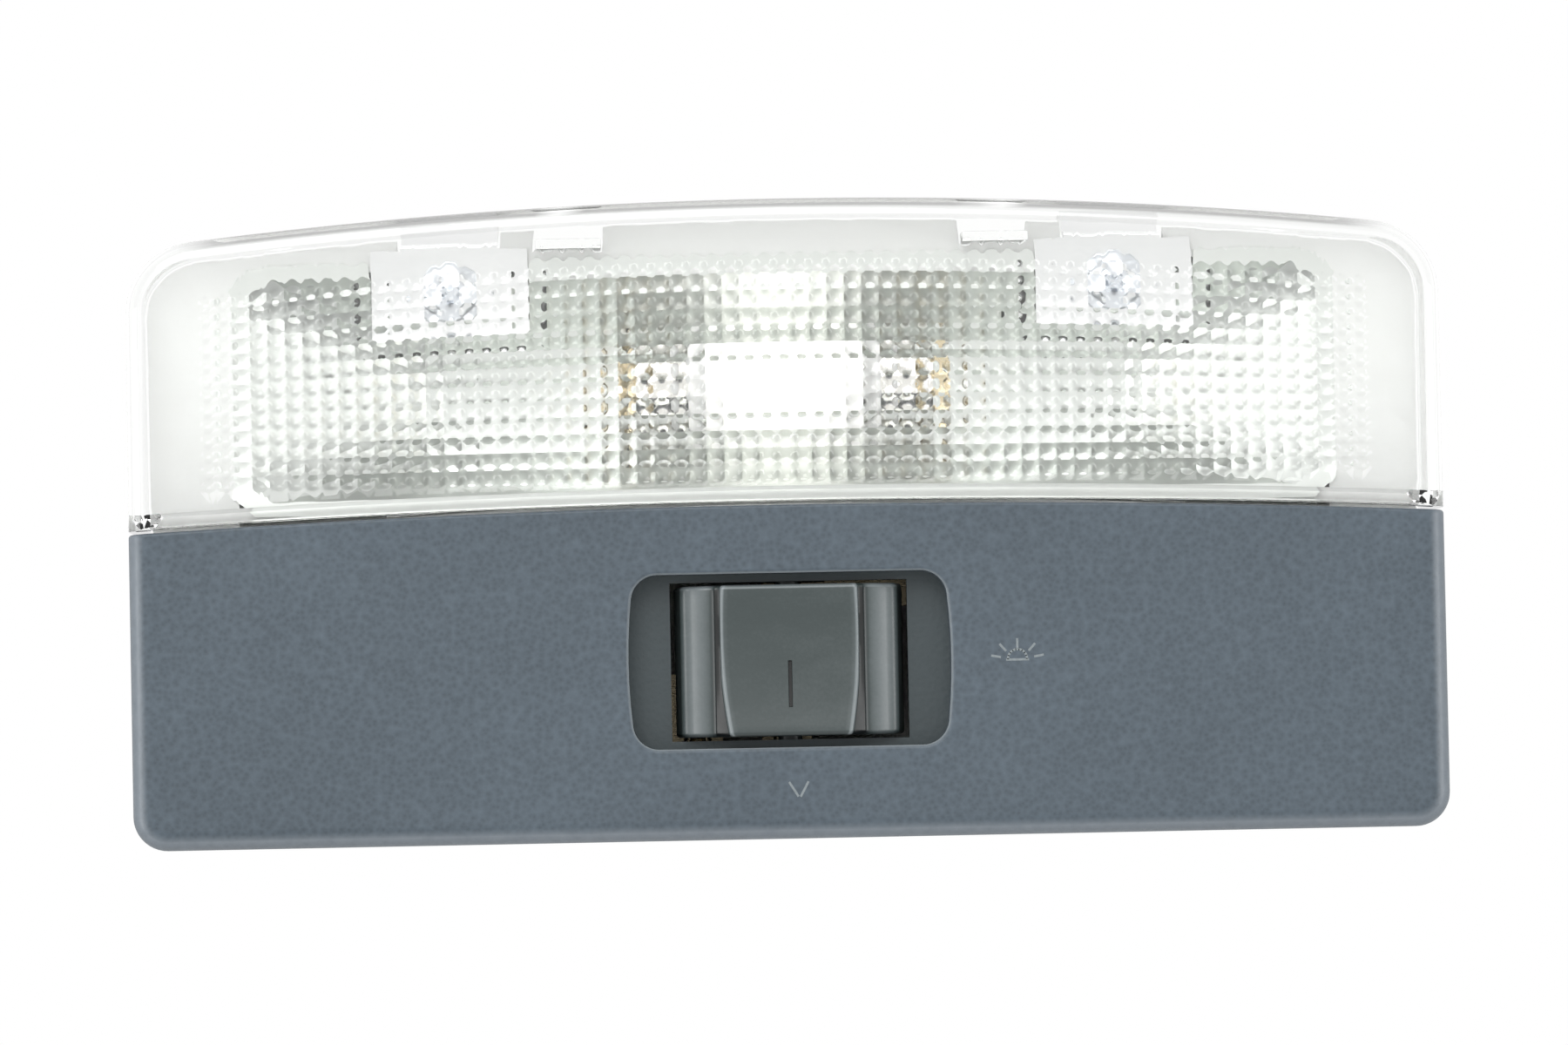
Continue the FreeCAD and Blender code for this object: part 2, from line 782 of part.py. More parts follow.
    # slots for the three terminal blades in the rear wall
    for index in range(3):
        centre = terminal_x(index)
        part.block(
            f"terminal_slot_{index}",
            (f"{centre} - terminal_width / 2 - slot_play", f"{centre} + terminal_width / 2 + slot_play"),
            ("-box_rear - 0.5", "box_wall - box_rear + 0.5"),
            (FLOOR_Z, f"{FLOOR_Z} + terminal_thick + slot_play"),
            cut=True,
        )
    for index, (at_x, at_y) in enumerate(rivet_places()):
        part.disc(
            f"rivet_hole_{index}",
            at_x,
            at_y,
            "rivet_radius + hole_play",
            ("-box_depth - 0.5", FLOOR_Z),
            cut=True,
        )
    return part


def terminal_x(index):
    """Place of one terminal blade along the rear wall."""
    return f"(-{index} * terminal_pitch)"


SUPPLY_X = f"({BLADE_X} + run_width / 2)"


def rivet_places():
    """Centres of the rivets in the strips."""
    between = f"(({SWITCH_Y} - bed_half_y - brass + box_wall - box_rear) / 2)"
    return (
        (f"-{SUPPLY_X}", "partition_y - rivet_rear_stand"),
        (SUPPLY_X, "partition_y + rivet_front_stand"),
        ("0.001", between),
        (terminal_x(1), between),
    )


def make_reflector():
    """Pressed trough with sloped sides, a rim lip, two clip windows and two blade slots."""
    part = Moulding("reflector")
    split = "(partition_y + partition_thick)"
    rim_x = f"({BOX_IN} - rim_inset)"
    rim_rear = f"({split} + rim_inset)"
    rim_front = "(box_front - box_wall - rim_inset)"
    deep = "(-trough_depth)"

    def frame(stem, grow, z, low):
        x = f"({rim_x} + ({grow}))" if not low else f"({rim_x} - trough_side_slope + ({grow}))"
        rear = f"({rim_rear} - ({grow}))" if not low else f"(bulb_y - floor_rear_reach - ({grow}))"
        front = f"({rim_front} + ({grow}))" if not low else f"(bulb_y + floor_front_reach + ({grow}))"
        corners = [
            (f"trough_corner - {x}", rear),
            (f"{x} - trough_corner", rear),
            (x, f"{rear} + trough_corner"),
            (x, f"{front} - trough_corner"),
            (f"{x} - trough_corner", front),
            (f"trough_corner - {x}", front),
            (f"-{x}", f"{front} - trough_corner"),
            (f"-{x}", f"{rear} + trough_corner"),
        ]
        return part.outline(stem, corners, z)

    part.loft(frame("deep_out", "sheet", f"{deep} - sheet", True), frame("rim_out", "sheet", RIM_Z, False))
    part.extrude(frame("lip", "sheet + lip_width", RIM_Z, False), "sheet")
    part.loft(frame("deep_in", "0", deep, True), frame("rim_in", "0", f"{RIM_Z} + sheet", False), cut=True)
    window_rear = "(screw_y - boss_radius - clip_play)"
    slope = f"(({RIM_Z} + trough_depth) / ({rim_front} - bulb_y - floor_front_reach))"
    window_low = f"({RIM_Z} - ({rim_front} + 2 * sheet - {window_rear}) * {slope})"
    for word, sign in sides():
        part.block(
            f"clip_window_{word}",
            span(sign, "clip_x", "clip_plate_width + 2 * clip_play"),
            (window_rear, "lamp_depth / 2"),
            (window_low, f"{RIM_Z} + sheet + 0.5"),
            cut=True,
        )
        part.block(
            f"blade_slot_{word}",
            span(sign, f"({BLADE_X} + brass / 2)", "brass + 2 * slot_play"),
            ("bulb_y - bulb_blade_width / 2 - slot_play", "bulb_y + bulb_blade_width / 2 + slot_play"),
            (f"{deep} - sheet - 0.5", f"{deep} + 6"),
            cut=True,
        )
    return part


def make_clip(word, sign):
    """Spring clip: flat plate on the flange and a bowed leg behind the roof sheet."""
    part = Moulding(f"clip_{word}")
    low = RIM_Z
    part.block(
        "plate",
        span(sign, "clip_x", "clip_plate_width"),
        ("clip_rear", "clip_leg_y"),
        (low, f"{low} + clip_steel"),
    )
    inner = "clip_leg_y"
    outer = "(clip_leg_y + clip_steel)"
    belly = f"(-roof_sheet - 3.5)"
    corners = [
        (f"{inner} - 0.3", f"{low} + clip_steel"),
        (f"{inner} - 0.3", low),
        (inner, low),
        (inner, "-roof_sheet + 1.5"),
        (f"{inner} + clip_bow", belly),
        (f"{inner} + 0.4", "-clip_drop"),
        (f"{outer} + 0.4", "-clip_drop"),
        (f"{outer} + clip_bow + 0.2", belly),
        (outer, "-roof_sheet + 1.5"),
        (outer, f"{low} + clip_steel"),
    ]
    leg = part.outline("leg", corners, f"{sign} * clip_x", plane="YZ_Plane")
    part.extrude(leg, "clip_leg_width", both=True)
    part.disc(
        "hole",
        f"{sign} * clip_x",
        "screw_y",
        "screw_radius + 0.25",
        (f"{low} - 0.5", f"{low} + clip_steel + 0.5"),
        cut=True,
    )
    part.round(
        "clip_steel / 2",
        lambda e: near(abs(e.BoundBox.YMin), value(outer)) and level(e, f"{low} + clip_steel"),
    )
    return part


def primitive(kind, label, sizes, place, turned=None):
    """A basic solid whose sizes and place are bound to the cells."""
    made = doc.addObject(kind, label)
    for prop, expression in sizes.items():
        drive(made, prop, expression)
    if turned:
        axis, angle = turned
        made.Placement = FreeCAD.Placement(FreeCAD.Vector(), FreeCAD.Rotation(FreeCAD.Vector(*axis), angle))
    for axis_name, expression in zip("xyz", place):
        drive(made, f"Placement.Base.{axis_name}", expression)
    return made


def bar(label, x, y, z):
    """A box between two bounds on each axis."""
    sizes = {
        "Length": f"({x[1]}) - ({x[0]})",
        "Width": f"({y[1]}) - ({y[0]})",
        "Height": f"({z[1]}) - ({z[0]})",
    }
    return primitive("Part::Box", label, sizes, (x[0], y[0], z[0]))


def pin(label, radius, place, length, turned=None):
    """A cylinder that starts at one place."""
    return primitive("Part::Cylinder", label, {"Radius": radius, "Height": length}, place, turned)


def joined(label, shapes):
    """Several solids joined into one."""
    made = doc.addObject("Part::MultiFuse", label)
    made.Shapes = shapes
    made.Refine = True
    return made


def cleared(label, base, tool):
    """A solid with a tool cut out of it."""
    made = doc.addObject("Part::Cut", label)
    made.Base = base
    made.Tool = tool
    return made


def make_screws():
    """Two pan head screws with a cross recess, through the clip plates."""
    screws = []
    seat = f"({RIM_Z} + clip_steel)"
    for word, sign in sides():
        x = f"{sign} * clip_x"
        place = (x, "screw_y", seat)
        head = primitive(
            "Part::Cone",
            f"screw_head_{word}",
            {
                "Radius1": "screw_head_radius",
                "Radius2": "screw_head_radius * 0.78",
                "Height": "screw_head_high",
            },
            place,
        )
        shank = pin(
            f"screw_shank_{word}",
            "screw_radius",
            (x, "screw_y", f"{RIM_Z} - screw_length"),
            f"screw_length + clip_steel + 0.2",
        )
        whole = joined(f"screw_whole_{word}", [head, shank])
        long = "screw_head_radius * 0.55"
        thin = "screw_slot / 2"
        depth = (f"{seat} + screw_head_high * 0.35", f"{seat} + screw_head_high + 0.2")
        cross = joined(
            f"screw_cross_{word}",
            [
                bar(
                    f"cross_a_{word}",
                    (f"{x} - {long}", f"{x} + {long}"),
                    (f"screw_y - {thin}", f"screw_y + {thin}"),
                    depth,
                ),
                bar(
                    f"cross_b_{word}",
                    (f"{x} - {thin}", f"{x} + {thin}"),
                    (f"screw_y - {long}", f"screw_y + {long}"),
                    depth,
                ),
            ],
        )
        screws.append(cleared(f"screw_{word}", whole, cross))
    group = doc.addObject("Part::Compound", "clip_screws")
    group.Links = screws
    return group


def make_bulb():
    """Festoon bulb: glass tube, two hollow caps with conical ends, filament with leads."""
    glass = Moulding("bulb_glass")
    tube = "(glass_length / 2)"
    neck = f"({tube} + shoulder)"
    end = f"({neck} + neck_in_cap)"
    inner = "(glass_radius - glass_wall)"
    slim = "(neck_radius - glass_wall)"
    corners = [
        (f"-{end}", slim),
        (f"-{neck}", slim),
        (f"-{tube}", inner),
        (tube, inner),
        (neck, slim),
        (end, slim),
        (end, "neck_radius"),
        (neck, "neck_radius"),
        (tube, "glass_radius"),
        (f"-{tube}", "glass_radius"),
        (f"-{neck}", "neck_radius"),
        (f"-{end}", "neck_radius"),
    ]
    profile = glass.outline("profile", corners, "0", plane="XZ_Plane")
    glass.turn(profile)
    drive(glass.body, "Placement.Base.y", "bulb_y")
    drive(glass.body, "Placement.Base.z", "bulb_z")
    made = [glass.body]
    tip = "(bulb_length / 2)"
    mouth = f"({tip} - cap_length)"
    cone = f"({tip} - cap_cone)"
    hollow = "(cap_radius - cap_wall)"
    for word, sign in sides():
        cap = Moulding(f"bulb_cap_{word}")
        ring = [
            (f"{sign} * {mouth}", "cap_radius"),
            (f"{sign} * {cone}", "cap_radius"),
            (f"{sign} * {tip}", "cap_tip_radius"),
            (f"{sign} * {tip}", "0.0001"),
            (f"{sign} * ({cone} + 0.2)", "0.0001"),
            (f"{sign} * ({cone} + 0.2)", hollow),
            (f"{sign} * {mouth}", hollow),
        ]
        cap.turn(cap.outline("profile", ring, "0", plane="XZ_Plane"))
        drive(cap.body, "Placement.Base.y", "bulb_y")
        drive(cap.body, "Placement.Base.z", "bulb_z")
        made.append(cap.body)
    along = ((0, 1, 0), 90)
    lead_end = f"({cone} + 0.15)"
    coil = pin(
        "coil",
        "filament_radius",
        ("-filament_length / 2", "bulb_y", "bulb_z"),
        "filament_length",
        along,
    )
    leads = [
        pin(
            "lead_left",
            "lead_radius",
            (f"-{lead_end}", "bulb_y", "bulb_z"),
            f"{lead_end} - filament_length / 2 + 0.3",
            along,
        ),
        pin(
            "lead_right",
            "lead_radius",
            ("filament_length / 2 - 0.3", "bulb_y", "bulb_z"),
            f"{lead_end} - filament_length / 2 + 0.3",
            along,
        ),
    ]
    made.append(joined("bulb_filament", [coil] + leads))
    return made


def make_strips():
    """Four stamped and bent brass strips, and the rivets that hold them."""
    floor = (FLOOR_Z, f"{FLOOR_Z} + brass")
    half_run = "run_width / 2"
    pad_z = (BED_Z, f"{BED_Z} + brass")
    common_y = f"({SWITCH_Y} + button_y)"
    switch_row = f"({SWITCH_Y} - button_y)"
    bed_front = f"({SWITCH_Y} + bed_half_y)"
    bed_rear = f"({SWITCH_Y} - bed_half_y)"
    wall_in = "(box_wall - box_rear)"
    along = ((0, 1, 0), 90)
    cone_at = "(cap_cone - blade_inset)"
    hole = f"(cap_radius - (cap_radius - cap_tip_radius) * {cone_at} / cap_cone + hole_play)"

    def bulb_blade(word, sign):
        low, high = sorted((f"{sign} * {BLADE_X}", f"{sign} * ({BLADE_X} + brass)"), key=value)
        return bar(
            f"bulb_blade_{word}",
            (low, high),
            ("bulb_y - bulb_blade_width / 2", "bulb_y + bulb_blade_width / 2"),
            (FLOOR_Z, "bulb_z + bulb_blade_top"),
        )

    def bulb_hole(word, sign):
        start = f"{sign} * {SUPPLY_X} - run_width"
        return pin(f"bulb_hole_{word}", hole, (start, "bulb_y", "bulb_z"), "2 * run_width", along)

    def run_x(sign):
        return tuple(sorted((f"{sign} * {BLADE_X}", f"{sign} * ({BLADE_X} + run_width)"), key=value))

    def terminal(word, index):
        centre = terminal_x(index)
        return bar(
            f"terminal_{word}",
            (f"{centre} - terminal_width / 2", f"{centre} + terminal_width / 2"),
            ("-box_rear - terminal_reach", f"{wall_in} + 0.2"),
            (FLOOR_Z, f"{FLOOR_Z} + terminal_thick"),
        )

    def punched(label, whole, index):
        x, y = rivet_places()[index]
        tool = pin(
            f"{label}_punch",
            "rivet_radius + hole_play",
            (x, y, f"{FLOOR_Z} - 0.5"),
            "terminal_thick + 1",
        )
        return cleared(label, whole, tool)

    blade_end = "bulb_y + bulb_blade_width / 2"
    supply = joined(
        "supply_whole",
        [
            bar("supply_run", run_x("-1"), (f"{wall_in} + 2", blade_end), floor),
            bar(
                "supply_turn",
                tuple(sorted((f"{terminal_x(2)} - terminal_width / 2", f"-{BLADE_X}"), key=value)),
                (f"{wall_in} + 0.1", f"{wall_in} + 4.5"),
                floor,
            ),
            terminal("supply", 2),
            bulb_blade("left", "-1"),
        ],
    )
    supply = cleared("supply_bored", supply, bulb_hole("left", "-1"))
    supply = punched("supply_strip", supply, 0)
    front_face = (bed_front, f"{bed_front} + brass")
    back = joined(
        "return_whole",
        [
            bar(
                "return_pad",
                ("-pad_reach", "pad_reach"),
                (f"{common_y} - pad_half", f"{bed_front} + brass"),
                pad_z,
            ),
            bar("return_drop", ("-pad_reach", "pad_reach"), front_face, (FLOOR_Z, f"{BED_Z} + brass")),
            bar(
                "return_cross",
                ("-pad_reach", f"{BLADE_X} + run_width"),
                (bed_front, f"{bed_front} + run_width"),
                floor,
            ),
            bar("return_run", run_x("1"), (bed_front, blade_end), floor),
            bulb_blade("right", "1"),
        ],
    )
    back = cleared("return_bored", back, bulb_hole("right", "1"))
    back = punched("return_strip", back, 1)
    rear_face = (f"{bed_rear} - brass", bed_rear)
    door = joined(
        "door_whole",
        [
            bar(
                "door_pad",
                ("-door_half", "door_half"),
                (f"{bed_rear} - brass", f"{switch_row} + pad_half"),
                pad_z,
            ),
            bar("door_drop", ("-door_half", "door_half"), rear_face, (FLOOR_Z, f"{BED_Z} + brass")),
            bar(
                "door_run",
                ("-terminal_width / 2", "terminal_width / 2"),
                (f"{wall_in} - 1", bed_rear),
                floor,
            ),
            terminal("door", 0),
        ],
    )
    door = punched("door_strip", door, 2)
    side_face = ("-bed_half_x - brass", "-bed_half_x")
    on_pad = ("-bed_half_x - brass", "-door_half - pad_gap")
    row = (f"{switch_row} - pad_half", f"{switch_row} + pad_half")
    ground = joined(
        "ground_whole",
        [
            bar("ground_pad", on_pad, row, pad_z),
            bar("ground_drop", side_face, row, (FLOOR_Z, f"{BED_Z} + brass")),
            bar("ground_foot", (f"{terminal_x(1)} - terminal_width / 2", "-bed_half_x"), row, floor),
            bar(
                "ground_run",
                (f"{terminal_x(1)} - terminal_width / 2", f"{terminal_x(1)} + terminal_width / 2"),
                (f"{wall_in} - 1", f"{switch_row} + pad_half"),
                floor,
            ),
            terminal("ground", 1),
        ],
    )
    ground = punched("ground_strip", ground, 3)
    rivets = []
    for index, (x, y) in enumerate(rivet_places()):
        shank = pin(
            f"rivet_shank_{index}",
            "rivet_radius",
            (x, y, "-box_depth + 0.2"),
            "floor_thick + brass + 0.1",
        )
        head = pin(f"rivet_head_{index}", "rivet_head", (x, y, f"{FLOOR_Z} + brass"), "rivet_head_high")
        eye = pin(f"rivet_eye_{index}", "rivet_radius * 0.5", (x, y, "-box_depth"), "box_depth")
        rivets.append(cleared(f"rivet_{index}", joined(f"rivet_whole_{index}", [shank, head]), eye))
    group = doc.addObject("Part::Compound", "strip_rivets")
    group.Links = rivets
    return [supply, back, door, ground, group]


def make_rocker():
    """Rocker cap: wings, raised centre grip with a finger dish, pivots and spring stem."""
    part = Moulding("rocker")
    wing_x = "sqrt(rocker_end_radius^2 - rocker_wing^2)"
    skirt_x = "sqrt(rocker_end_radius^2 - rocker_skirt^2)"
    wing_z = "(pivot_z + rocker_wing)"
    skirt_z = "(pivot_z + rocker_skirt)"
    mean = "((rocker_wing + rocker_skirt) / 2)"
    bulge_x = f"sqrt(rocker_end_radius^2 - {mean}^2)"
    crown = f"({wing_z} + 0.15)"
    corners = [
        (f"-({skirt_x})", skirt_z),
        (skirt_x, skirt_z),
        (wing_x, wing_z),
        ("wing_root", crown),
        ("-wing_root", crown),
        (f"-({wing_x})", wing_z),
    ]
    arcs = {
        1: ("rocker_end_radius", bulge_x, f"pivot_z + {mean}"),
        5: ("rocker_end_radius", f"-({bulge_x})", f"pivot_z + {mean}"),
    }
    section = part.outline("section", corners, f"-{SWITCH_Y}", arcs, "XZ_Plane")
    part.extrude(section, "rocker_height", both=True)
    low = f"({SWITCH_Y} - rocker_height / 2)"
    high = f"({SWITCH_Y} + rocker_height / 2)"

    def grip(stem, half, z):
        return part.outline(stem, [(f"-{half}", low), (half, low), (half, high), (f"-{half}", high)], z)

    part.loft(
        grip("grip_base", "grip_base", f"{wing_z} - 0.1"),
        grip("grip_top", "grip_top", f"{wing_z} + grip_rise"),
    )
    # finger dish across the grip
    dish = "((rocker_height / 2)^2 + grip_dish^2) / (2 * grip_dish)"
    top = f"({wing_z} + grip_rise)"
    chord = [(low, f"{top} + 0.01"), (high, f"{top} + 0.01"), (high, f"{top} + 1"), (low, f"{top} + 1")]
    bowl = part.outline("dish", chord, "0", {0: (dish, SWITCH_Y, f"{top} - grip_dish")}, "YZ_Plane")
    part.extrude(bowl, "2 * grip_base", cut=True, both=True)
    end_x = value(wing_x)

    def wing_edge(edge):
        box = edge.BoundBox
        return near(abs(box.Center.x), end_x, 0.05) and level(edge, wing_z) and box.YLength > 1

    part.round("wing_round", wing_edge)
    # index line in the grip
    part.block(
        "index",
        ("-index_width / 2", "index_width / 2"),
        (f"{SWITCH_Y} - index_y - index_length / 2", f"{SWITCH_Y} - index_y + index_length / 2"),
        (f"{top} - grip_dish - index_deep", f"{top} + 0.5"),
        cut=True,
    )
    # hollow underside
    hollow = "(rocker_end_radius - rocker_skin - 0.6)"
    part.block(
        "hollow",
        (f"-{hollow}", hollow),
        (f"{low} + rocker_skin", f"{high} - rocker_skin"),
        (f"{skirt_z} - 0.5", f"{wing_z} - rocker_skin"),
        cut=True,
    )
    # cheeks that carry the pivots, and the stem with the spring bore
    cheek = "(pivot_radius + 1.4)"
    for word, sign in (("rear", "-1"), ("front", "1")):
        outer = f"{SWITCH_Y} + {sign} * rocker_height / 2"
        inner = f"{SWITCH_Y} + {sign} * (rocker_height / 2 - rocker_skin)"
        y = tuple(sorted((outer, inner), key=value))
        part.block(f"cheek_{word}", (f"-{cheek}", cheek), y, (f"pivot_z - {cheek}", f"{skirt_z} + 0.5"))
    axle = part.circle("axle", "0", "pivot_z", "pivot_radius", f"-{SWITCH_Y}", "XZ_Plane")
    part.extrude(axle, "rocker_height + 2 * rocker_gap + 2 * bearing_thick - 0.4", both=True)
    stem = ("-stem_half", "stem_half")
    part.block(
        "stem",
        stem,
        (f"{SWITCH_Y} - stem_half", f"{SWITCH_Y} + stem_half"),
        ("pivot_z - stem_low", f"{wing_z} - rocker_skin + 0.2"),
    )
    part.disc(
        "bore",
        "0",
        SWITCH_Y,
        "bore_radius",
        ("pivot_z - stem_low - 0.5", "pivot_z + bore_top"),
        cut=True,
    )
    return part


def make_contact():
    """Spring, plunger and bridging contact that ride in the rocker stem."""
    plunger = Moulding("contact_plunger")
    radius = "(bore_radius - plunger_play)"
    plunger.disc("barrel", "0", SWITCH_Y, radius, ("pivot_z - plunger_low", "pivot_z - plunger_top"))
    bridge = Moulding("contact_bridge")
    high = "(pivot_z - plunger_low)"
    reach = "(track_radius - track_play)"
    bridge.block(
        "plate",
        ("-bridge_half_x", "bridge_half_x"),
        (f"{SWITCH_Y} - bridge_half_y", f"{SWITCH_Y} + bridge_half_y"),
        (f"{high} - bridge_thick", high),
    )
    for word, sign in (("rear", "-1"), ("front", "1")):
        at = f"{SWITCH_Y} + {sign} * button_y"
        bridge.disc(
            f"button_{word}",
            "0",
            at,
            "button_radius",
            (f"pivot_z - {reach}", f"{high} - bridge_thick / 2"),
        )
    lowest = value(f"pivot_z - {reach}")
    bridge.round(
        "button_radius * 0.8",
        lambda e: near(e.BoundBox.ZMax, lowest) and near(e.BoundBox.ZMin, lowest),
    )
    length = "(bore_top + plunger_top - 2 * spring_wire)"
    coil = doc.addObject("Part::Helix", "spring_path")
    drive(coil, "Radius", f"{radius} - spring_wire / 2 - 0.1")
    drive(coil, "Pitch", f"{length} / spring_coils")
    drive(coil, "Height", length)
    drive(coil, "Placement.Base.y", SWITCH_Y)
    drive(coil, "Placement.Base.z", "pivot_z - plunger_top + spring_wire")
    wire = doc.addObject("Part::Circle", "spring_wire_section")
    drive(wire, "Radius", "spring_wire / 2")
    wire.Placement = FreeCAD.Placement(FreeCAD.Vector(), FreeCAD.Rotation(FreeCAD.Vector(1, 0, 0), 90))
    drive(wire, "Placement.Base.x", f"{radius} - spring_wire / 2 - 0.1")
    drive(wire, "Placement.Base.y", SWITCH_Y)
    drive(wire, "Placement.Base.z", "pivot_z - plunger_top + spring_wire")
    spring = doc.addObject("Part::Sweep", "contact_spring")
    spring.Sections = [wire]
    spring.Spine = coil
    spring.Solid = True
    spring.Frenet = True
    return [plunger.body, bridge.body, spring]


sub_parts = [
    make_lens().body,
    make_switch_panel().body,
    make_base_tray().body,
    make_reflector().body,
    make_rocker().body,
]
for side_word, side_sign in sides():
    sub_parts.append(make_clip(side_word, side_sign).body)
sub_parts.append(make_screws())
sub_parts.extend(make_bulb())
sub_parts.extend(make_strips())
sub_parts.extend(make_contact())

doc.recompute()

broken = [item.Name for item in doc.Objects if "Invalid" in item.State or "Error" in item.State]
if broken:
    raise RuntimeError(f"not built: {broken}")
for item in sub_parts:
    if item.Shape.isNull() or not item.Shape.isValid():
        raise RuntimeError(f"no valid shape: {item.Label}")

os.makedirs("parts", exist_ok=True)
for item in sub_parts:
    item.Shape.exportStep(f"parts/{item.Label}.step")
    box = item.Shape.BoundBox
    print(f"{item.Label}: {len(item.Shape.Solids)} solid, {item.Shape.Volume:.0f} mm3,"
          f" x {box.XMin:.1f} {box.XMax:.1f}, y {box.YMin:.1f} {box.YMax:.1f}, z {box.ZMin:.1f} {box.ZMax:.1f}")
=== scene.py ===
"""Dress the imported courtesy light: clear prismatic lens, grained switch panel, bulb and metalwork."""

import logging
import math
from dataclasses import dataclass, field
from enum import Enum
from typing import Any, Optional, Sequence

import bmesh
import bpy
from mathutils import Matrix, Vector


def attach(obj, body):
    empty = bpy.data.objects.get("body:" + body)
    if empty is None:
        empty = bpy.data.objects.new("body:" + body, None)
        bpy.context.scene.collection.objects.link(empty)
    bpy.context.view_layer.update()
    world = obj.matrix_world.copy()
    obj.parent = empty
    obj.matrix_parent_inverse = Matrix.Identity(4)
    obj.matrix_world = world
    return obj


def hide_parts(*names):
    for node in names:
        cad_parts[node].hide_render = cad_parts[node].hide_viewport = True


MM = 0.001
LOG = logging.getLogger("courtesy_light")
Point = tuple[float, float]
Colour = tuple[float, float, float]
JOINT_STEPS = 48


class Body(Enum):
    """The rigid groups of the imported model."""

    LAMP = "lamp"
    SWITCH = "switch"


class Shade(Enum):
    """How a mesh's faces are shaded."""

    SMOOTH = "smooth"
    BY_ANGLE = "by_angle"


# Shader maths


class Wire:
    """A node socket that takes part in Python expressions."""

    def __init__(self, desk: "Desk", socket: bpy.types.NodeSocket) -> None:
        """Keep the socket and the desk that made it."""
        self.desk = desk
        self.socket = socket

    def _math(self, operation: str, *values: Any) -> "Wire":
        """Add one Math node."""
        return self.desk.node("ShaderNodeMath", {"operation": operation}, dict(enumerate(values)))

    def __add__(self, other: Any) -> "Wire":
        """Sum."""
        return self._math("ADD", self, other)

    def __radd__(self, other: Any) -> "Wire":
        """Sum with a number on the left."""
        return self._math("ADD", other, self)

    def __sub__(self, other: Any) -> "Wire":
        """Difference."""
        return self._math("SUBTRACT", self, other)

    def __rsub__(self, other: Any) -> "Wire":
        """Difference from a number on the left."""
        return self._math("SUBTRACT", other, self)

    def __mul__(self, other: Any) -> "Wire":
        """Product."""
        return self._math("MULTIPLY", self, other)

    def __rmul__(self, other: Any) -> "Wire":
        """Product with a number on the left."""
        return self._math("MULTIPLY", other, self)

    def __truediv__(self, other: Any) -> "Wire":
        """Quotient."""
        return self._math("DIVIDE", self, other)

    def __rtruediv__(self, other: Any) -> "Wire":
        """Quotient of a number on the left."""
        return self._math("DIVIDE", other, self)

    def abs(self) -> "Wire":
        """Size without sign."""
        return self._math("ABSOLUTE", self)

    def less(self, other: Any) -> "Wire":
        """One where this is below the other."""
        return self._math("LESS_THAN", self, other)

    def clamp(self) -> "Wire":
        """Held between 0 and 1."""
        return self.desk.node("ShaderNodeClamp", {}, {"Value": self})


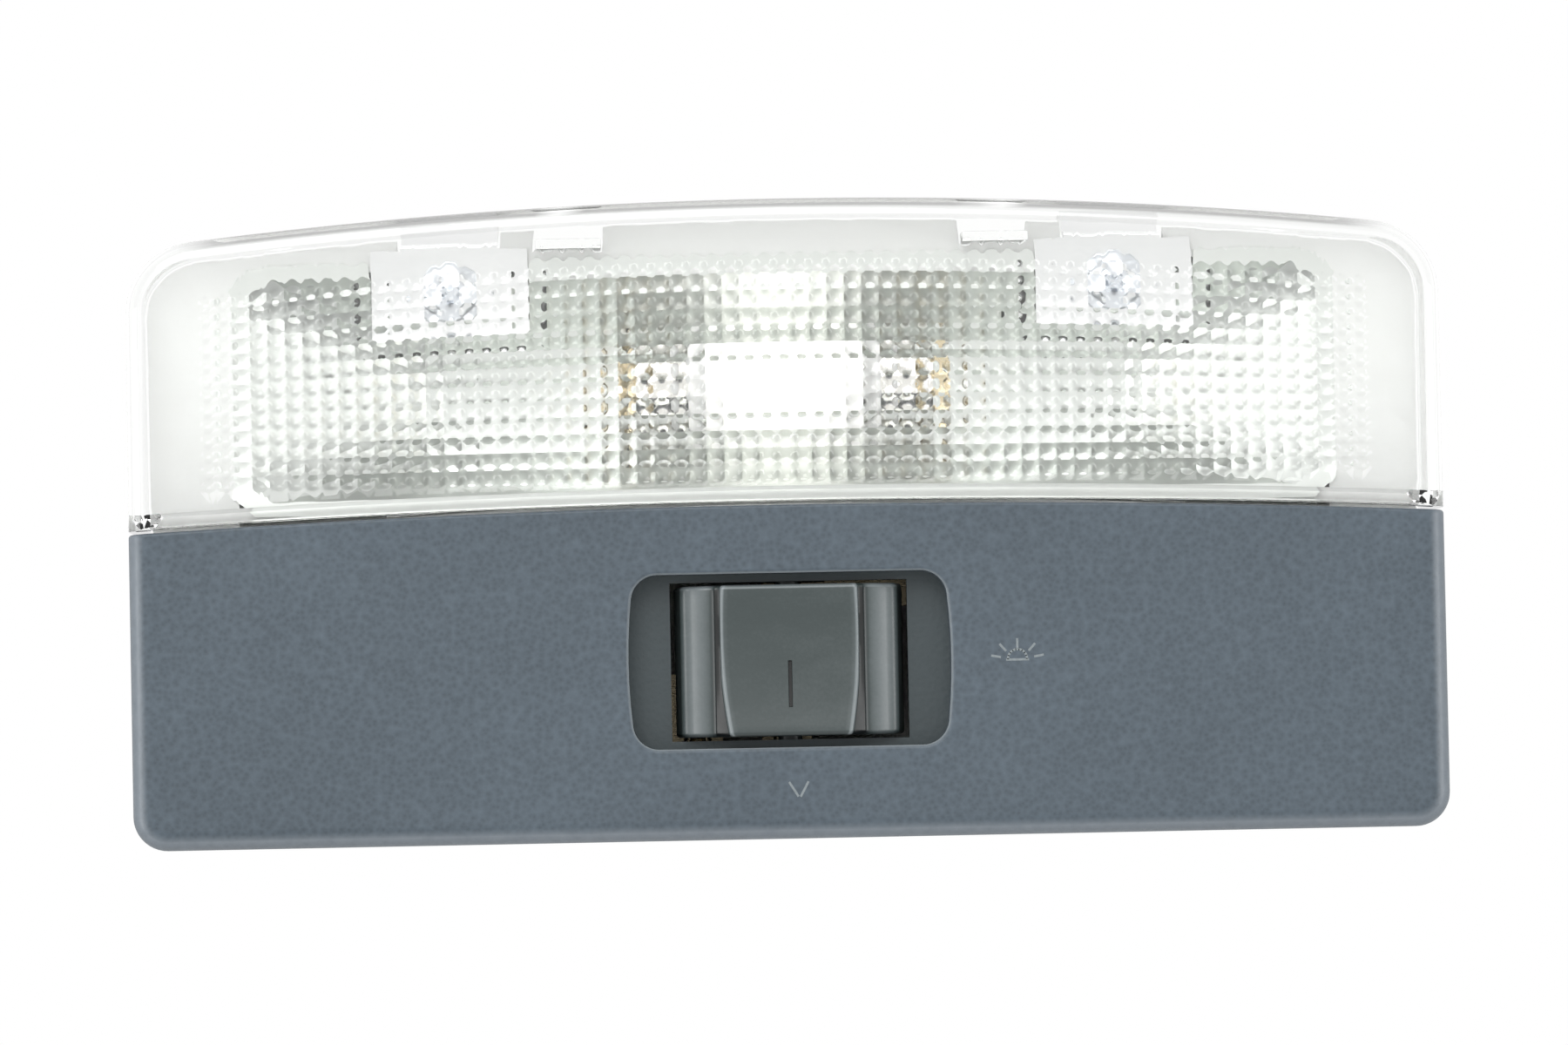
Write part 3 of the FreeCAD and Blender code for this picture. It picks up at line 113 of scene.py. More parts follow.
class Desk:
    """One material's node tree, with a single way to add nodes."""

    def __init__(self, name: str) -> None:
        """Start an empty material.

        Args:
            name: The material's name.
        """
        self.material = bpy.data.materials.new(name)
        self.material.use_nodes = True
        self.tree = self.material.node_tree
        self.tree.nodes.clear()

    def node(self, kind: str, settings: dict[str, Any], sockets: dict[Any, Any], out: Any = 0) -> Wire:
        """Add a node.

        Args:
            kind: The node's type.
            settings: Properties that are set first; a ramp's stops go under "stops".
            sockets: Values or wires by input name or number.
            out: Which output the returned wire carries.

        Returns:
            The wire of the chosen output.
        """
        made = self.tree.nodes.new(kind)
        for key, setting in settings.items():
            if key == "stops":
                ramp = made.color_ramp
                while len(ramp.elements) < len(setting):
                    ramp.elements.new(0.5)
                for element, (place, colour) in zip(ramp.elements, setting):
                    element.position = place
                    element.color = (*colour, 1.0)
            else:
                setattr(made, key, setting)
        for key, given in sockets.items():
            socket = made.inputs[key]
            if isinstance(given, Wire):
                self.tree.links.new(given.socket, socket)
            else:
                socket.default_value = given
        return Wire(self, made.outputs[out])

    def spot(self, axis: str) -> Wire:
        """One object coordinate, in metres."""
        whole = self.node("ShaderNodeTexCoord", {}, {}, "Object")
        return self.node("ShaderNodeSeparateXYZ", {}, {0: whole}, axis)

    def place(self, scale: Sequence[float] = (1, 1, 1)) -> Wire:
        """Object coordinates, scaled.

        Args:
            scale: Factor on each axis.

        Returns:
            The vector wire.
        """
        whole = self.node("ShaderNodeTexCoord", {}, {}, "Object")
        return self.node("ShaderNodeMapping", {}, {"Vector": whole, "Scale": scale})

    def noise(
        self, scale: float, detail: float = 3.0, rough: float = 0.55, vector: Optional[Wire] = None
    ) -> Wire:
        """Noise of one size.

        Args:
            scale: Waves per metre.
            detail: Octaves.
            rough: Weight of the fine octaves.
            vector: Where it is read; object coordinates by default.

        Returns:
            The factor wire.
        """
        at = vector or self.place()
        return self.node(
            "ShaderNodeTexNoise", {}, {"Vector": at, "Scale": scale, "Detail": detail, "Roughness": rough}
        )

    def mix(self, factor: Wire, one: Any, two: Any) -> Wire:
        """Blend two colours.

        Args:
            factor: Share of the second colour.
            one: First colour, a wire or three numbers.
            two: Second colour, a wire or three numbers.

        Returns:
            The blended colour's wire.
        """
        pair = [given if isinstance(given, Wire) else (*given, 1.0) for given in (one, two)]
        return self.node(
            "ShaderNodeMix", {"data_type": "RGBA"}, {0: factor, 6: pair[0], 7: pair[1]}, 2
        )

    def ramp(self, factor: Wire, stops: Sequence[tuple[float, Sequence[float]]]) -> Wire:
        """A colour ramp over a factor."""
        return self.node("ShaderNodeValToRGB", {"stops": stops}, {"Fac": factor})

    def bump(self, height: Wire, strength: float, distance: float) -> Wire:
        """A bump from a height.

        Args:
            height: The height wire.
            strength: Share of the bump that is used.
            distance: Size of the bump in metres.

        Returns:
            The normal wire.
        """
        return self.node(
            "ShaderNodeBump", {}, {"Height": height, "Strength": strength, "Distance": distance}
        )

    def mark(self, name: str) -> Wire:
        """The piece's own number under a name."""
        return self.node("ShaderNodeAttribute", {"attribute_name": name}, {}, "Fac")

    def surface(self, **sockets: Any) -> bpy.types.Material:
        """End the tree in a principled surface.

        Args:
            sockets: Principled inputs, with underscores for spaces.

        Returns:
            The finished material.
        """
        named = {key.replace("_", " "): given for key, given in sockets.items()}
        shader = self.node("ShaderNodeBsdfPrincipled", {}, named)
        self.node_out(shader)
        return self.material

    def node_out(self, shader: Wire) -> None:
        """Link a shader to the output."""
        end = self.tree.nodes.new("ShaderNodeOutputMaterial")
        self.tree.links.new(shader.socket, end.inputs["Surface"])


# Finishes


@dataclass(frozen=True)
class GrainedPlastic:
    """Moulded plastic with a fine leather-like grain, a painted highlight on its rounded edges and round the
    recess rim, and painted shade on the recess floor.
    """

    name: str
    colour: Colour
    pale: Colour
    # Colour of the painted highlight on the rounded outer edges.
    painted_highlight: Colour
    rough: float = 0.5
    cell: float = 1500.0
    depth: float = 0.00006
    strength: float = 0.5
    face: float = 14.0
    edge_start: float = 0.05
    edge_full: float = 0.45
    edge_end: float = 2.6
    # Colour of the painted highlight round the recess rim.
    rim: Colour = (0.3, 0.33, 0.345)
    rim_drop: float = 0.35
    # Colour of the painted shade on the recess floor.
    painted_recess_shade: Colour = (0.03, 0.041, 0.043)
    sunk_drop: float = 3.4
    sunk_blend: float = 0.6
    sunk_share: float = 0.85
    recess_y: float = -17.3
    recess_half: Point = (21.5, 12.0)

    def build(self) -> bpy.types.Material:
        """Make the material."""
        desk = Desk(self.name)
        cells = desk.node(
            "ShaderNodeTexVoronoi",
            {"feature": "SMOOTH_F1"},
            {"Vector": desk.place(), "Scale": self.cell, "Smoothness": 0.6},
        )
        fine = desk.noise(self.cell * 2.2, 2.0)
        broad = desk.noise(45.0, 3.0)
        grain = cells * 0.75 + fine * 0.35
        tone = broad * 0.35 + grain * 0.55
        colour = desk.ramp(tone, [(0.2, self.colour), (0.75, self.pale)])
        # Painted highlight: the outer edges' fillets are lightened by how far they drop below the face.
        drop = (self.face * MM - desk.spot("Z")) / MM
        onset = ((drop - self.edge_start) / (self.edge_full - self.edge_start)).clamp()
        fade = 1.0 - ((drop - self.edge_full) / (self.edge_end - self.edge_full)).clamp()
        edge = (onset * fade * (desk.noise(700.0, 3.0) * 0.5 + 0.6)).clamp()
        half_x, half_y = self.recess_half
        across = desk.spot("X").abs().less(half_x * MM)
        along = (desk.spot("Y") - self.recess_y * MM).abs().less(half_y * MM)
        recess = across * along
        # Painted highlight: a thin lighter band just inside the recess rim.
        rim = onset * (1.0 - ((drop - self.rim_drop) / self.rim_drop).clamp()) * recess
        # Mix in the painted edge highlight outside the recess.
        plain = desk.mix(edge * (1.0 - recess), colour, self.painted_highlight)
        # Painted shade: the recess floor darkens with depth.
        painted_recess_shade = ((drop - self.sunk_drop) / self.sunk_blend).clamp() * recess * self.sunk_share
        mixed = desk.mix(rim, desk.mix(painted_recess_shade, plain, self.painted_recess_shade), self.rim)
        rough = desk.noise(160.0, 3.0) * 0.12 + (self.rough - 0.06) - edge * 0.1
        return desk.surface(
            Base_Color=mixed,
            Roughness=rough,
            Normal=desk.bump(grain, self.strength, self.depth),
            Specular_IOR_Level=0.45,
        )


@dataclass(frozen=True)
class SmoothPlastic:
    """Satin moulded plastic with faint flow marks."""

    name: str
    colour: Colour
    pale: Colour
    rough: float = 0.38

    def build(self) -> bpy.types.Material:
        """Make the material."""
        desk = Desk(self.name)
        flow = desk.noise(60.0, 4.0, 0.6, desk.place((1.0, 2.4, 1.0)))
        fine = desk.noise(2600.0, 2.0)
        colour = desk.ramp(flow, [(0.3, self.colour), (0.75, self.pale)])
        rough = desk.noise(240.0, 3.0) * 0.14 + (self.rough - 0.07)
        return desk.surface(
            Base_Color=colour, Roughness=rough, Normal=desk.bump(fine, 0.25, 0.00002), Specular_IOR_Level=0.45
        )


@dataclass(frozen=True)
class HandledPlastic:
    """Satin plastic with painted highlights on its edges and painted shade in its corners and grooves."""

    name: str
    # Colour of the painted shade in the rocker's corners and grooves.
    painted_shade: Colour
    colour: Colour
    # Colour of the painted highlight on the rocker's edges.
    painted_highlight: Colour
    rough: float = 0.34

    def build(self) -> bpy.types.Material:
        """Make the material."""
        desk = Desk(self.name)
        tone_shift = desk.mark("rub")
        flow = desk.noise(70.0, 4.0, 0.6, desk.place((1.0, 2.2, 1.0)))
        fine = desk.noise(2400.0, 2.0)
        # Each point's painted light value picks painted shade (low), the plain colour, or a painted highlight
        # (high).
        factor = (tone_shift * 0.5 + 0.5 + (flow - 0.5) * 0.16 + (fine - 0.5) * 0.08).clamp()
        colour = desk.ramp(factor, [(0.1, self.painted_shade), (0.5, self.colour), (1.0, self.painted_highlight)])
        rough = desk.noise(240.0, 3.0) * 0.14 + (self.rough - 0.07) - tone_shift * 0.05
        return desk.surface(
            Base_Color=colour, Roughness=rough, Normal=desk.bump(fine, 0.25, 0.00002), Specular_IOR_Level=0.45
        )


@dataclass(frozen=True)
class ClearPlastic:
    """Polished clear plastic with a painted grey shade line along a marked rim."""

    name: str
    tint: Colour
    rough: float = 0.01
    ior: float = 1.49
    # Colour of the painted shade line along the front rim.
    rim: Colour = (0.27, 0.27, 0.265)

    def build(self) -> bpy.types.Material:
        """Make the material."""
        desk = Desk(self.name)
        return desk.surface(
            Base_Color=desk.mix(desk.mark("rim"), self.tint, self.rim),
            Roughness=desk.noise(90.0, 3.0) * 0.03 + self.rough,
            Transmission_Weight=1.0,
            IOR=self.ior,
            Normal=desk.bump(desk.noise(55.0, 2.0), 0.05, 0.00005),
        )


@dataclass(frozen=True)
class FrostedGlass:
    """Bulb glass with a white frosted inside and a glow that fades from its middle to its ends."""

    name: str
    frost: Colour
    glow: Colour = (1.0, 0.985, 0.95)
    strength: float = 0.9
    reach: float = 11.0

    def build(self) -> bpy.types.Material:
        """Make the material."""
        desk = Desk(self.name)
        cloud = desk.noise(220.0, 4.0)
        thin = tuple(c * 0.94 for c in self.frost)
        colour = desk.ramp(cloud, [(0.3, thin), (0.7, self.frost)])
        along = desk.spot("X") / (self.reach * MM)
        lit = (1.0 - along * along).clamp()
        return desk.surface(
            Base_Color=colour,
            Emission_Color=desk.mix(lit, (0.0, 0.0, 0.0), self.glow),
            Emission_Strength=self.strength,
            Roughness=cloud * 0.08 + 0.12,
            Transmission_Weight=0.06,
            IOR=1.5,
            Normal=desk.bump(desk.noise(900.0, 2.0), 0.1, 0.00003),
            Coat_Weight=0.6,
            Coat_Roughness=0.05,
        )


@dataclass(frozen=True)
class Metal:
    """Rolled, plated or pressed metal with fine directional marks."""

    name: str
    colour: Colour
    dark: Colour
    rough: float = 0.25
    stretch: Colour = (1.0, 30.0, 30.0)
    marks: float = 0.00001

    def build(self) -> bpy.types.Material:
        """Make the material."""
        desk = Desk(self.name)
        lines = desk.noise(120.0, 4.0, 0.65, desk.place(self.stretch))
        blotch = desk.noise(70.0, 3.0)
        colour = desk.ramp(blotch * 0.6 + lines * 0.4, [(0.25, self.dark), (0.7, self.colour)])
        rough = lines * 0.16 + blotch * 0.1 + (self.rough - 0.13)
        return desk.surface(
            Base_Color=colour, Roughness=rough, Metallic=1.0, Normal=desk.bump(lines, 0.3, self.marks)
        )


@dataclass(frozen=True)
class Ink:
    """Pad-printed mark."""

    name: str
    colour: Colour

    def build(self) -> bpy.types.Material:
        """Make the material."""
        desk = Desk(self.name)
        tone_shift = desk.noise(2500.0, 3.0)
        dark = tuple(c * 0.8 for c in self.colour)
        return desk.surface(Base_Color=desk.ramp(tone_shift, [(0.3, dark), (0.6, self.colour)]), Roughness=0.6)


# Mesh helpers


def blank(name: str, mesh: Optional[bpy.types.Mesh] = None) -> bpy.types.Object:
    """Put an object with a mesh, or with an empty one, into the scene."""
    made = bpy.data.objects.new(name, mesh or bpy.data.meshes.new(name))
    bpy.context.scene.collection.objects.link(made)
    return made


def plain_mesh(source: bpy.types.Object) -> bpy.types.Mesh:
    """The mesh that an object's modifiers or curve give."""
    bpy.context.view_layer.update()
    ready = source.evaluated_get(bpy.context.evaluated_depsgraph_get())
    return bpy.data.meshes.new_from_object(ready)


def set_inputs(modifier: bpy.types.NodesModifier, given: dict[str, Any]) -> None:
    """Set a node tree's inputs by their names' identifiers."""
    for item in modifier.node_group.interface.items_tree:
        if item.in_out == "INPUT" and item.name in given:
            modifier[item.identifier] = given[item.name]


def from_work(name: str, work: bmesh.types.BMesh) -> bpy.types.Object:
    """Turn a working mesh, which is freed, into an object."""
    made = blank(name)
    bmesh.ops.recalc_face_normals(work, faces=work.faces[:])
    work.to_mesh(made.data)
    work.free()
    return made


def shade(piece: bpy.types.Object, how: Shade, angle: float = 35.0) -> None:
    """Set how a piece's faces are shaded.

    Args:
        piece: The mesh object.
        how: Smooth, or smooth below an angle.
        angle: The angle in degrees.
    """
    mesh = piece.data
    mesh.polygons.foreach_set("use_smooth", [True] * len(mesh.polygons))
    if how is Shade.BY_ANGLE:
        mesh.set_sharp_from_angle(angle=math.radians(angle))


def finished(
    piece: bpy.types.Object, material: bpy.types.Material, angle: Optional[float] = 35.0
) -> bpy.types.Object:
    """Give a piece its one material and its shading.

    Args:
        piece: The mesh object.
        material: Its material.
        angle: Smooth below this angle in degrees, or everywhere if None.

    Returns:
        The same object.
    """
    piece.data.materials.clear()
    piece.data.materials.append(material)
    if angle is None:
        shade(piece, Shade.SMOOTH)
    else:
        shade(piece, Shade.BY_ANGLE, angle)
    return piece


def add_loops(work: bmesh.types.BMesh, loops: Sequence[Sequence[Vector]]) -> list[list[bmesh.types.BMVert]]:
    """Add closed loops of points and join each to the next by quads.

    Args:
        work: The working mesh.
        loops: Loops with the same number of points.

    Returns:
        The vertices of every loop.
    """
    rings = [[work.verts.new(p) for p in loop] for loop in loops]
    for low, high in zip(rings, rings[1:]):
        for i in range(len(low)):
            j = (i + 1) % len(low)
            work.faces.new((low[i], low[j], high[j], high[i]))
    return rings


def add_box(work: bmesh.types.BMesh, low: Sequence[float], high: Sequence[float], soft: float = 0.0) -> None:
    """Add a closed box, with bevelled edges where asked.

    Args:
        work: The working mesh.
        low: Lowest corner in millimetres.
        high: Highest corner in millimetres.
        soft: Bevel width in millimetres.
    """
    lo, hi = Vector(low) * MM, Vector(high) * MM
    made = bmesh.ops.create_cube(work, size=1.0)
    bmesh.ops.scale(work, vec=hi - lo, verts=made["verts"])
    bmesh.ops.translate(work, vec=(hi + lo) / 2, verts=made["verts"])
    if soft:
        edges = list({e for v in made["verts"] for e in v.link_edges})
        bmesh.ops.bevel(work, geom=edges, offset=soft * MM, segments=2, affect="EDGES", profile=0.6)


def join_rows(work: bmesh.types.BMesh, rows: Sequence[Sequence[bmesh.types.BMVert]], steps: int) -> None:
    """Join each turned row to the next; a row on the axis is a single vertex.

    Args:
        work: The working mesh.
        rows: The rows' vertices.
        steps: Segments around.
    """
    for one, two in zip(rows, rows[1:]):
        for k in range(steps):
            m = (k + 1) % steps
            corners = [one[k % len(one)], one[m % len(one)], two[m % len(two)], two[k % len(two)]]
            unique = list(dict.fromkeys(corners))
            if len(unique) > 2:
                work.faces.new(unique)


def turned(
    name: str, profile: Sequence[Point], centre: Vector, material: bpy.types.Material, steps: int = 48
) -> bpy.types.Object:
    """Turn a closed profile about the X axis.

    Args:
        name: The piece's name.
        profile: Points (x, radius) in millimetres.
        centre: A point on the axis, in metres.
        material: The piece's material.
        steps: Segments around.

    Returns:
        The new object.
    """
    work = bmesh.new()
    rows = []
    for x, r in profile:
        row = []
        for k in range(steps):
            a = 2 * math.pi * k / steps
            row.append(work.verts.new(centre + Vector((x * MM, r * MM * math.cos(a), r * MM * math.sin(a)))))
        rows.append(row)
    join_rows(work, rows + rows[:1], steps)
    bmesh.ops.remove_doubles(work, verts=work.verts[:], dist=1e-7)
    return finished(from_work(name, work), material)


def dress(node: str, material: bpy.types.Material) -> None:
    """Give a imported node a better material."""
    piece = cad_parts[node]
    piece.data.materials.clear()
    piece.data.materials.append(material)
    LOG.info("dressed %s", node)


def settle(piece: bpy.types.Object, body: Body, slot: str, *nodes: str) -> None:
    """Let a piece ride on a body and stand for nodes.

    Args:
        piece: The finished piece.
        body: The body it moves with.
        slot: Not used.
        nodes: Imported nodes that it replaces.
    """
    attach(piece, body.value)
    if nodes:
        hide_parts(*nodes)
    LOG.info("built %s", piece.name)


# Sub-assemblies


@dataclass
class Outline:
    """The lamp's outline in the roof plane, in millimetres."""

    width: float = 160.0
    depth: float = 78.0
    panel_depth: float = 38.6
    joint_bow: float = 2.2
    front_bow: float = 4.9
    lens_corner: float = 9.0
    joint_gap: float = 0.4
    end: float = 2.0

    @property
    def half(self) -> float:
        """Half the width."""
        return self.width / 2

    @property
    def front_radius(self) -> float:
        """Radius of the bowed front."""
        return (self.half**2 + self.front_bow**2) / (2 * self.front_bow)

    @property
    def joint_radius(self) -> float:
        """Radius of the bowed joint."""
        return (self.half**2 + self.joint_bow**2) / (2 * self.joint_bow)

    def front_y(self, inset: float, x: float) -> float:
        """Height of the front edge, moved inward, at x."""
        radius = self.front_radius - inset
        return self.depth / 2 - self.front_radius + math.sqrt(radius**2 - x**2)

    def joint_y(self, shift: float, x: float) -> float:
        """Height of the joint line, moved towards the lens, at x."""
        radius = self.joint_radius + shift
        middle = self.panel_depth - self.depth / 2 + self.joint_bow - self.joint_radius
        return middle + math.sqrt(radius**2 - x**2)

    def lens_loop(self, side: float, joint: float, turn_steps: int = 14) -> list[Point]:
        """The lens outline, moved inward.

        Args:
            side: Inset of the sides and the front.
            joint: Inset of the joint edge.
            turn_steps: Segments around each corner.

        Returns:
            Points from the left end of the joint, anticlockwise.
        """
        steps = JOINT_STEPS
        x = self.half - side
        shift = self.joint_gap / 2 + joint
        near = x - self.end
        stations = [-x] + [near * (2 * k / steps - 1) for k in range(steps + 1)] + [x]
        loop = [(at, self.joint_y(shift, at)) for at in stations]
        turn = max(self.lens_corner - side, 0.05)
        bow = self.front_radius - side
        middle = self.depth / 2 - self.front_radius
        cx = x - turn
        cy = middle + math.sqrt((bow - turn) ** 2 - cx**2)
        stop = math.atan2(cy - middle, cx)
        for k in range(turn_steps + 1):
            a = stop * k / turn_steps
            loop.append((cx + turn * math.cos(a), cy + turn * math.sin(a)))
        for k in range(1, steps):
            a = stop + (math.pi - 2 * stop) * k / steps
            loop.append((bow * math.cos(a), middle + bow * math.sin(a)))
        for k in range(turn_steps + 1):
            a = math.pi - stop + stop * k / turn_steps
            loop.append((-cx + turn * math.cos(a), cy + turn * math.sin(a)))
        return loop


@dataclass
class Lens:
    """Clear cover with a field of small pillow prisms on its inside."""

    outline: Outline = field(default_factory=Outline)
    top: float = 14.0
    foot: float = 0.3
    joint_foot: float = 3.2
    plate: float = 2.2
    wall: float = 2.0
    edge_round: float = 2.4
    joint_round: float = 0.4
    pitch: float = 2.1
    prism_depth: float = 0.32
    side_margin: float = 8.8
    front_margin: float = 6.9
    rear_margin: float = 2.4
    cell_cuts: int = 6
    rim: float = 1.35
    rim_soft: float = 0.3
    rim_fade: float = 0.6
    rim_reach: float = 74.0
    rim_taper: float = 6.0
    rim_breaks: Point = (-27.0, 26.0)
    rim_break: float = 1.3
    leg_span: Point = (22.0, 30.0)
    leg_y: float = 33.25
    leg_thick: float = 1.2
    leg_foot: float = -6.5
    hook_reach: float = 0.98
    hook_top: float = -4.3
    tongue_span: Point = (41.0, 49.0)
    tongue_reach: float = 3.8
    tongue_levels: Point = (3.22, 5.0)
    soft: float = 0.12
    flat_angle: float = 28.0

    def rim_shade(self, place: Vector) -> float:
        """How much painted shade greys the outer front edge at a place: 1 along the rim, 0 at its ends and
        breaks.

        Args:
            place: A point of the lens, in metres.

        Returns:
            The share of grey, from 0 to 1.
        """
        x, y, z = place / MM
        shape = self.outline
        inset = shape.front_radius - math.hypot(x, y - shape.depth / 2 + shape.front_radius)
        if z < self.top - self.edge_round - 0.01 or inset > self.rim:
            return 0.0
        across = min(max((self.rim - inset) / self.rim_soft, 0.0), 1.0)
        ends = min(max((self.rim_reach - abs(x)) / self.rim_taper, 0.0), 1.0)
        gap = min(abs(x - at) for at in self.rim_breaks)
        return across * ends * min(max(gap - self.rim_break, 0.0), 1.0)

    def prism_tree(self) -> bpy.types.NodeTree:
        """Build the node tree that raises a pillow in every cell of a flat grid.

        Returns:
            The geometry node tree.
        """
        tree = bpy.data.node_groups.new("pillow_prisms", "GeometryNodeTree")
        face = tree.interface
        face.new_socket("Geometry", in_out="INPUT", socket_type="NodeSocketGeometry")
        for name in ("Pitch X", "Pitch Y", "Depth", "Start X", "Start Y"):
            face.new_socket(name, in_out="INPUT", socket_type="NodeSocketFloat")
        face.new_socket("Material", in_out="INPUT", socket_type="NodeSocketMaterial")
        face.new_socket("Geometry", in_out="OUTPUT", socket_type="NodeSocketGeometry")
        nodes, links = tree.nodes, tree.links
        begin = nodes.new("NodeGroupInput")
        end = nodes.new("NodeGroupOutput")
        flat = nodes.new("GeometryNodeInputNamedAttribute")
        flat.data_type = "FLOAT_VECTOR"
        flat.inputs["Name"].default_value = "cell_place"
        split = nodes.new("ShaderNodeSeparateXYZ")
        links.new(flat.outputs[0], split.inputs[0])

        def maths(operation: str, *values: Any) -> bpy.types.NodeSocket:
            """Add one Math node."""
            made = nodes.new("ShaderNodeMath")
            made.operation = operation
            for slot_in, given in zip(made.inputs, values):
                if isinstance(given, bpy.types.NodeSocket):
                    links.new(given, slot_in)
                else:
                    slot_in.default_value = given
            return made.outputs[0]

        def pillow(axis: str, start: str, pitch: str) -> bpy.types.NodeSocket:
            """Rise along one axis: 0 at a cell's edges, 1 in its middle."""
            from_start = maths("SUBTRACT", split.outputs[axis], begin.outputs[start])
            along = maths("DIVIDE", from_start, begin.outputs[pitch])
            swing = maths("SUBTRACT", maths("MULTIPLY", maths("FRACT", along), 2.0), 1.0)
            return maths("SUBTRACT", 1.0, maths("POWER", maths("ABSOLUTE", swing), 2.0))

        rise = maths("MULTIPLY", pillow("X", "Start X", "Pitch X"), pillow("Y", "Start Y", "Pitch Y"))
        drop = maths("MULTIPLY", maths("MULTIPLY", rise, begin.outputs["Depth"]), -1.0)
        move = nodes.new("ShaderNodeCombineXYZ")
        links.new(drop, move.inputs["Z"])
        put = nodes.new("GeometryNodeSetPosition")
        links.new(begin.outputs["Geometry"], put.inputs["Geometry"])
        links.new(move.outputs[0], put.inputs["Offset"])
        real = nodes.new("GeometryNodeRealizeInstances")
        links.new(put.outputs[0], real.inputs[0])
        dye = nodes.new("GeometryNodeSetMaterial")
        links.new(real.outputs[0], dye.inputs["Geometry"])
        links.new(begin.outputs["Material"], dye.inputs["Material"])
        links.new(dye.outputs[0], end.inputs[0])
        return tree

    def field_mesh(self, material: bpy.types.Material) -> bpy.types.Mesh:
        """Make the prism field as an open sheet under the plate.

        Args:
            material: The clear material.

        Returns:
            The mesh, in metres.
        """
        shape = self.outline
        half = shape.half - self.side_margin
        low = shape.joint_y(shape.joint_gap / 2, 0.0) + self.rear_margin
        deep = shape.front_y(self.front_margin, 0.0)
        columns = int(2 * half / self.pitch)
        rows = int((deep - low) / self.pitch)
        level = (self.top - self.plate) * MM
        across, up = columns * self.cell_cuts, rows * self.cell_cuts
        pitch_x, pitch_y = 2 * half / columns, (deep - low) / rows
        sheet = blank("prism_field")
        verts, faces, cells = [], [], []
        for j in range(up + 1):
            for i in range(across + 1):
                x = -half + 2 * half * i / across
                reach = shape.front_y(self.front_margin, x)
                y = low + (reach - low) * j / up
                verts.append((x * MM, y * MM, level))
                cells.append((x * MM, (low + (deep - low) * j / up) * MM, 0.0))
        for j in range(up):
            for i in range(across):
                a = j * (across + 1) + i
                faces.append((a, a + across + 1, a + across + 2, a + 1))
        sheet.data.from_pydata(verts, [], faces)
        mark = sheet.data.attributes.new("cell_place", "FLOAT_VECTOR", "POINT")
        mark.data.foreach_set("vector", [c for cell in cells for c in cell])
        tree = self.prism_tree()
        raise_cells = sheet.modifiers.new("prisms", "NODES")
        raise_cells.node_group = tree
        given = {
            "Pitch X": pitch_x * MM,
            "Pitch Y": pitch_y * MM,
            "Depth": self.prism_depth * MM,
            "Start X": -half * MM,
            "Start Y": low * MM,
            "Material": material,
        }
        set_inputs(raise_cells, given)
        made = plain_mesh(sheet)
        bpy.data.objects.remove(sheet)
        return made

    def shell(self, work: bmesh.types.BMesh) -> None:
        """Add plate, walls and the flat ring around the prism field.

        Args:
            work: The working mesh, which already holds the field.
        """
        shape = self.outline
        brow = self.top - self.edge_round - self.rim_fade
        levels: list[tuple[float, float, float]] = [(0.0, 0.0, self.foot), (0.0, 0.0, brow)]
        big, small = self.edge_round, self.joint_round
        steps = 10
        for k in range(steps + 1):
            a = math.pi / 2 * k / steps
            z = self.top - big + big * math.sin(a)
            past = z - (self.top - small)
            joint = 0.0 if past <= 0 else small - math.sqrt(max(small**2 - past**2, 0.0))
            levels.append((big - big * math.cos(a), joint, z))
        raised = range(1, JOINT_STEPS + 2)
        loops = []
        for n, (side, joint, z) in enumerate(levels):
            points = shape.lens_loop(side, joint)
            ring = []
            for i, (x, y) in enumerate(points):
                lifted = n == 0 and i in raised
                ring.append(Vector((x, y, self.joint_foot if lifted else z)) * MM)
            loops.append(ring)
        inner = shape.lens_loop(self.wall, self.wall)
        feet = [self.joint_foot if i in raised else self.foot for i in range(len(inner))]
        low = [Vector((x, y, z)) * MM for (x, y), z in zip(inner, feet)]
        high = [Vector((x, y, self.top - self.plate)) * MM for x, y in inner]
        loops = [high, low] + loops
        rings = add_loops(work, loops)
        work.faces.new(rings[-1])
        first = rings[0]
        ring_edges = [work.edges.get(pair) for pair in zip(first, first[1:] + first[:1])]
        border = [e for e in work.edges if e.is_boundary and e not in set(ring_edges)]
        bmesh.ops.triangle_fill(work, use_beauty=True, use_dissolve=False, edges=ring_edges + border)

    def legs(self, work: bmesh.types.BMesh) -> None:
        """Add the snap legs along the front and the tongues along the joint."""
        under, front, foot = self.top - self.plate - 0.03, self.leg_y, self.leg_foot
        low, high = self.tongue_levels
        edge = self.outline.joint_y(self.outline.joint_gap / 2, self.tongue_span[1])
        for sign in (-1, 1):
            x0, x1 = sorted(sign * x for x in self.leg_span)
            add_box(work, (x0, front, foot), (x1, front + self.leg_thick, under), self.soft)
            add_box(work, (x0, front - self.hook_reach, foot), (x1, front - 0.02, self.hook_top), self.soft)
            x0, x1 = sorted(sign * x for x in self.tongue_span)
            add_box(work, (x0, edge - self.tongue_reach, low), (x1, edge - 0.1, high), self.soft)

    def build(self, material: bpy.types.Material) -> bpy.types.Object:
        """Make the lens.

        Args:
            material: The clear material.

        Returns:
            The lens object.
        """
        field_part = self.field_mesh(material)
        work = bmesh.new()
        work.from_mesh(field_part)
        bpy.data.meshes.remove(field_part)
        # Every vertex keeps its share of the painted shade line along the front rim.
        rim = work.verts.layers.float.new("rim")
        self.shell(work)
        for corner in work.verts:
            corner[rim] = self.rim_shade(corner.co)
        bmesh.ops.recalc_face_normals(work, faces=work.faces[:])
        self.legs(work)
        return finished(from_work("clear_lens", work), material, self.flat_angle)


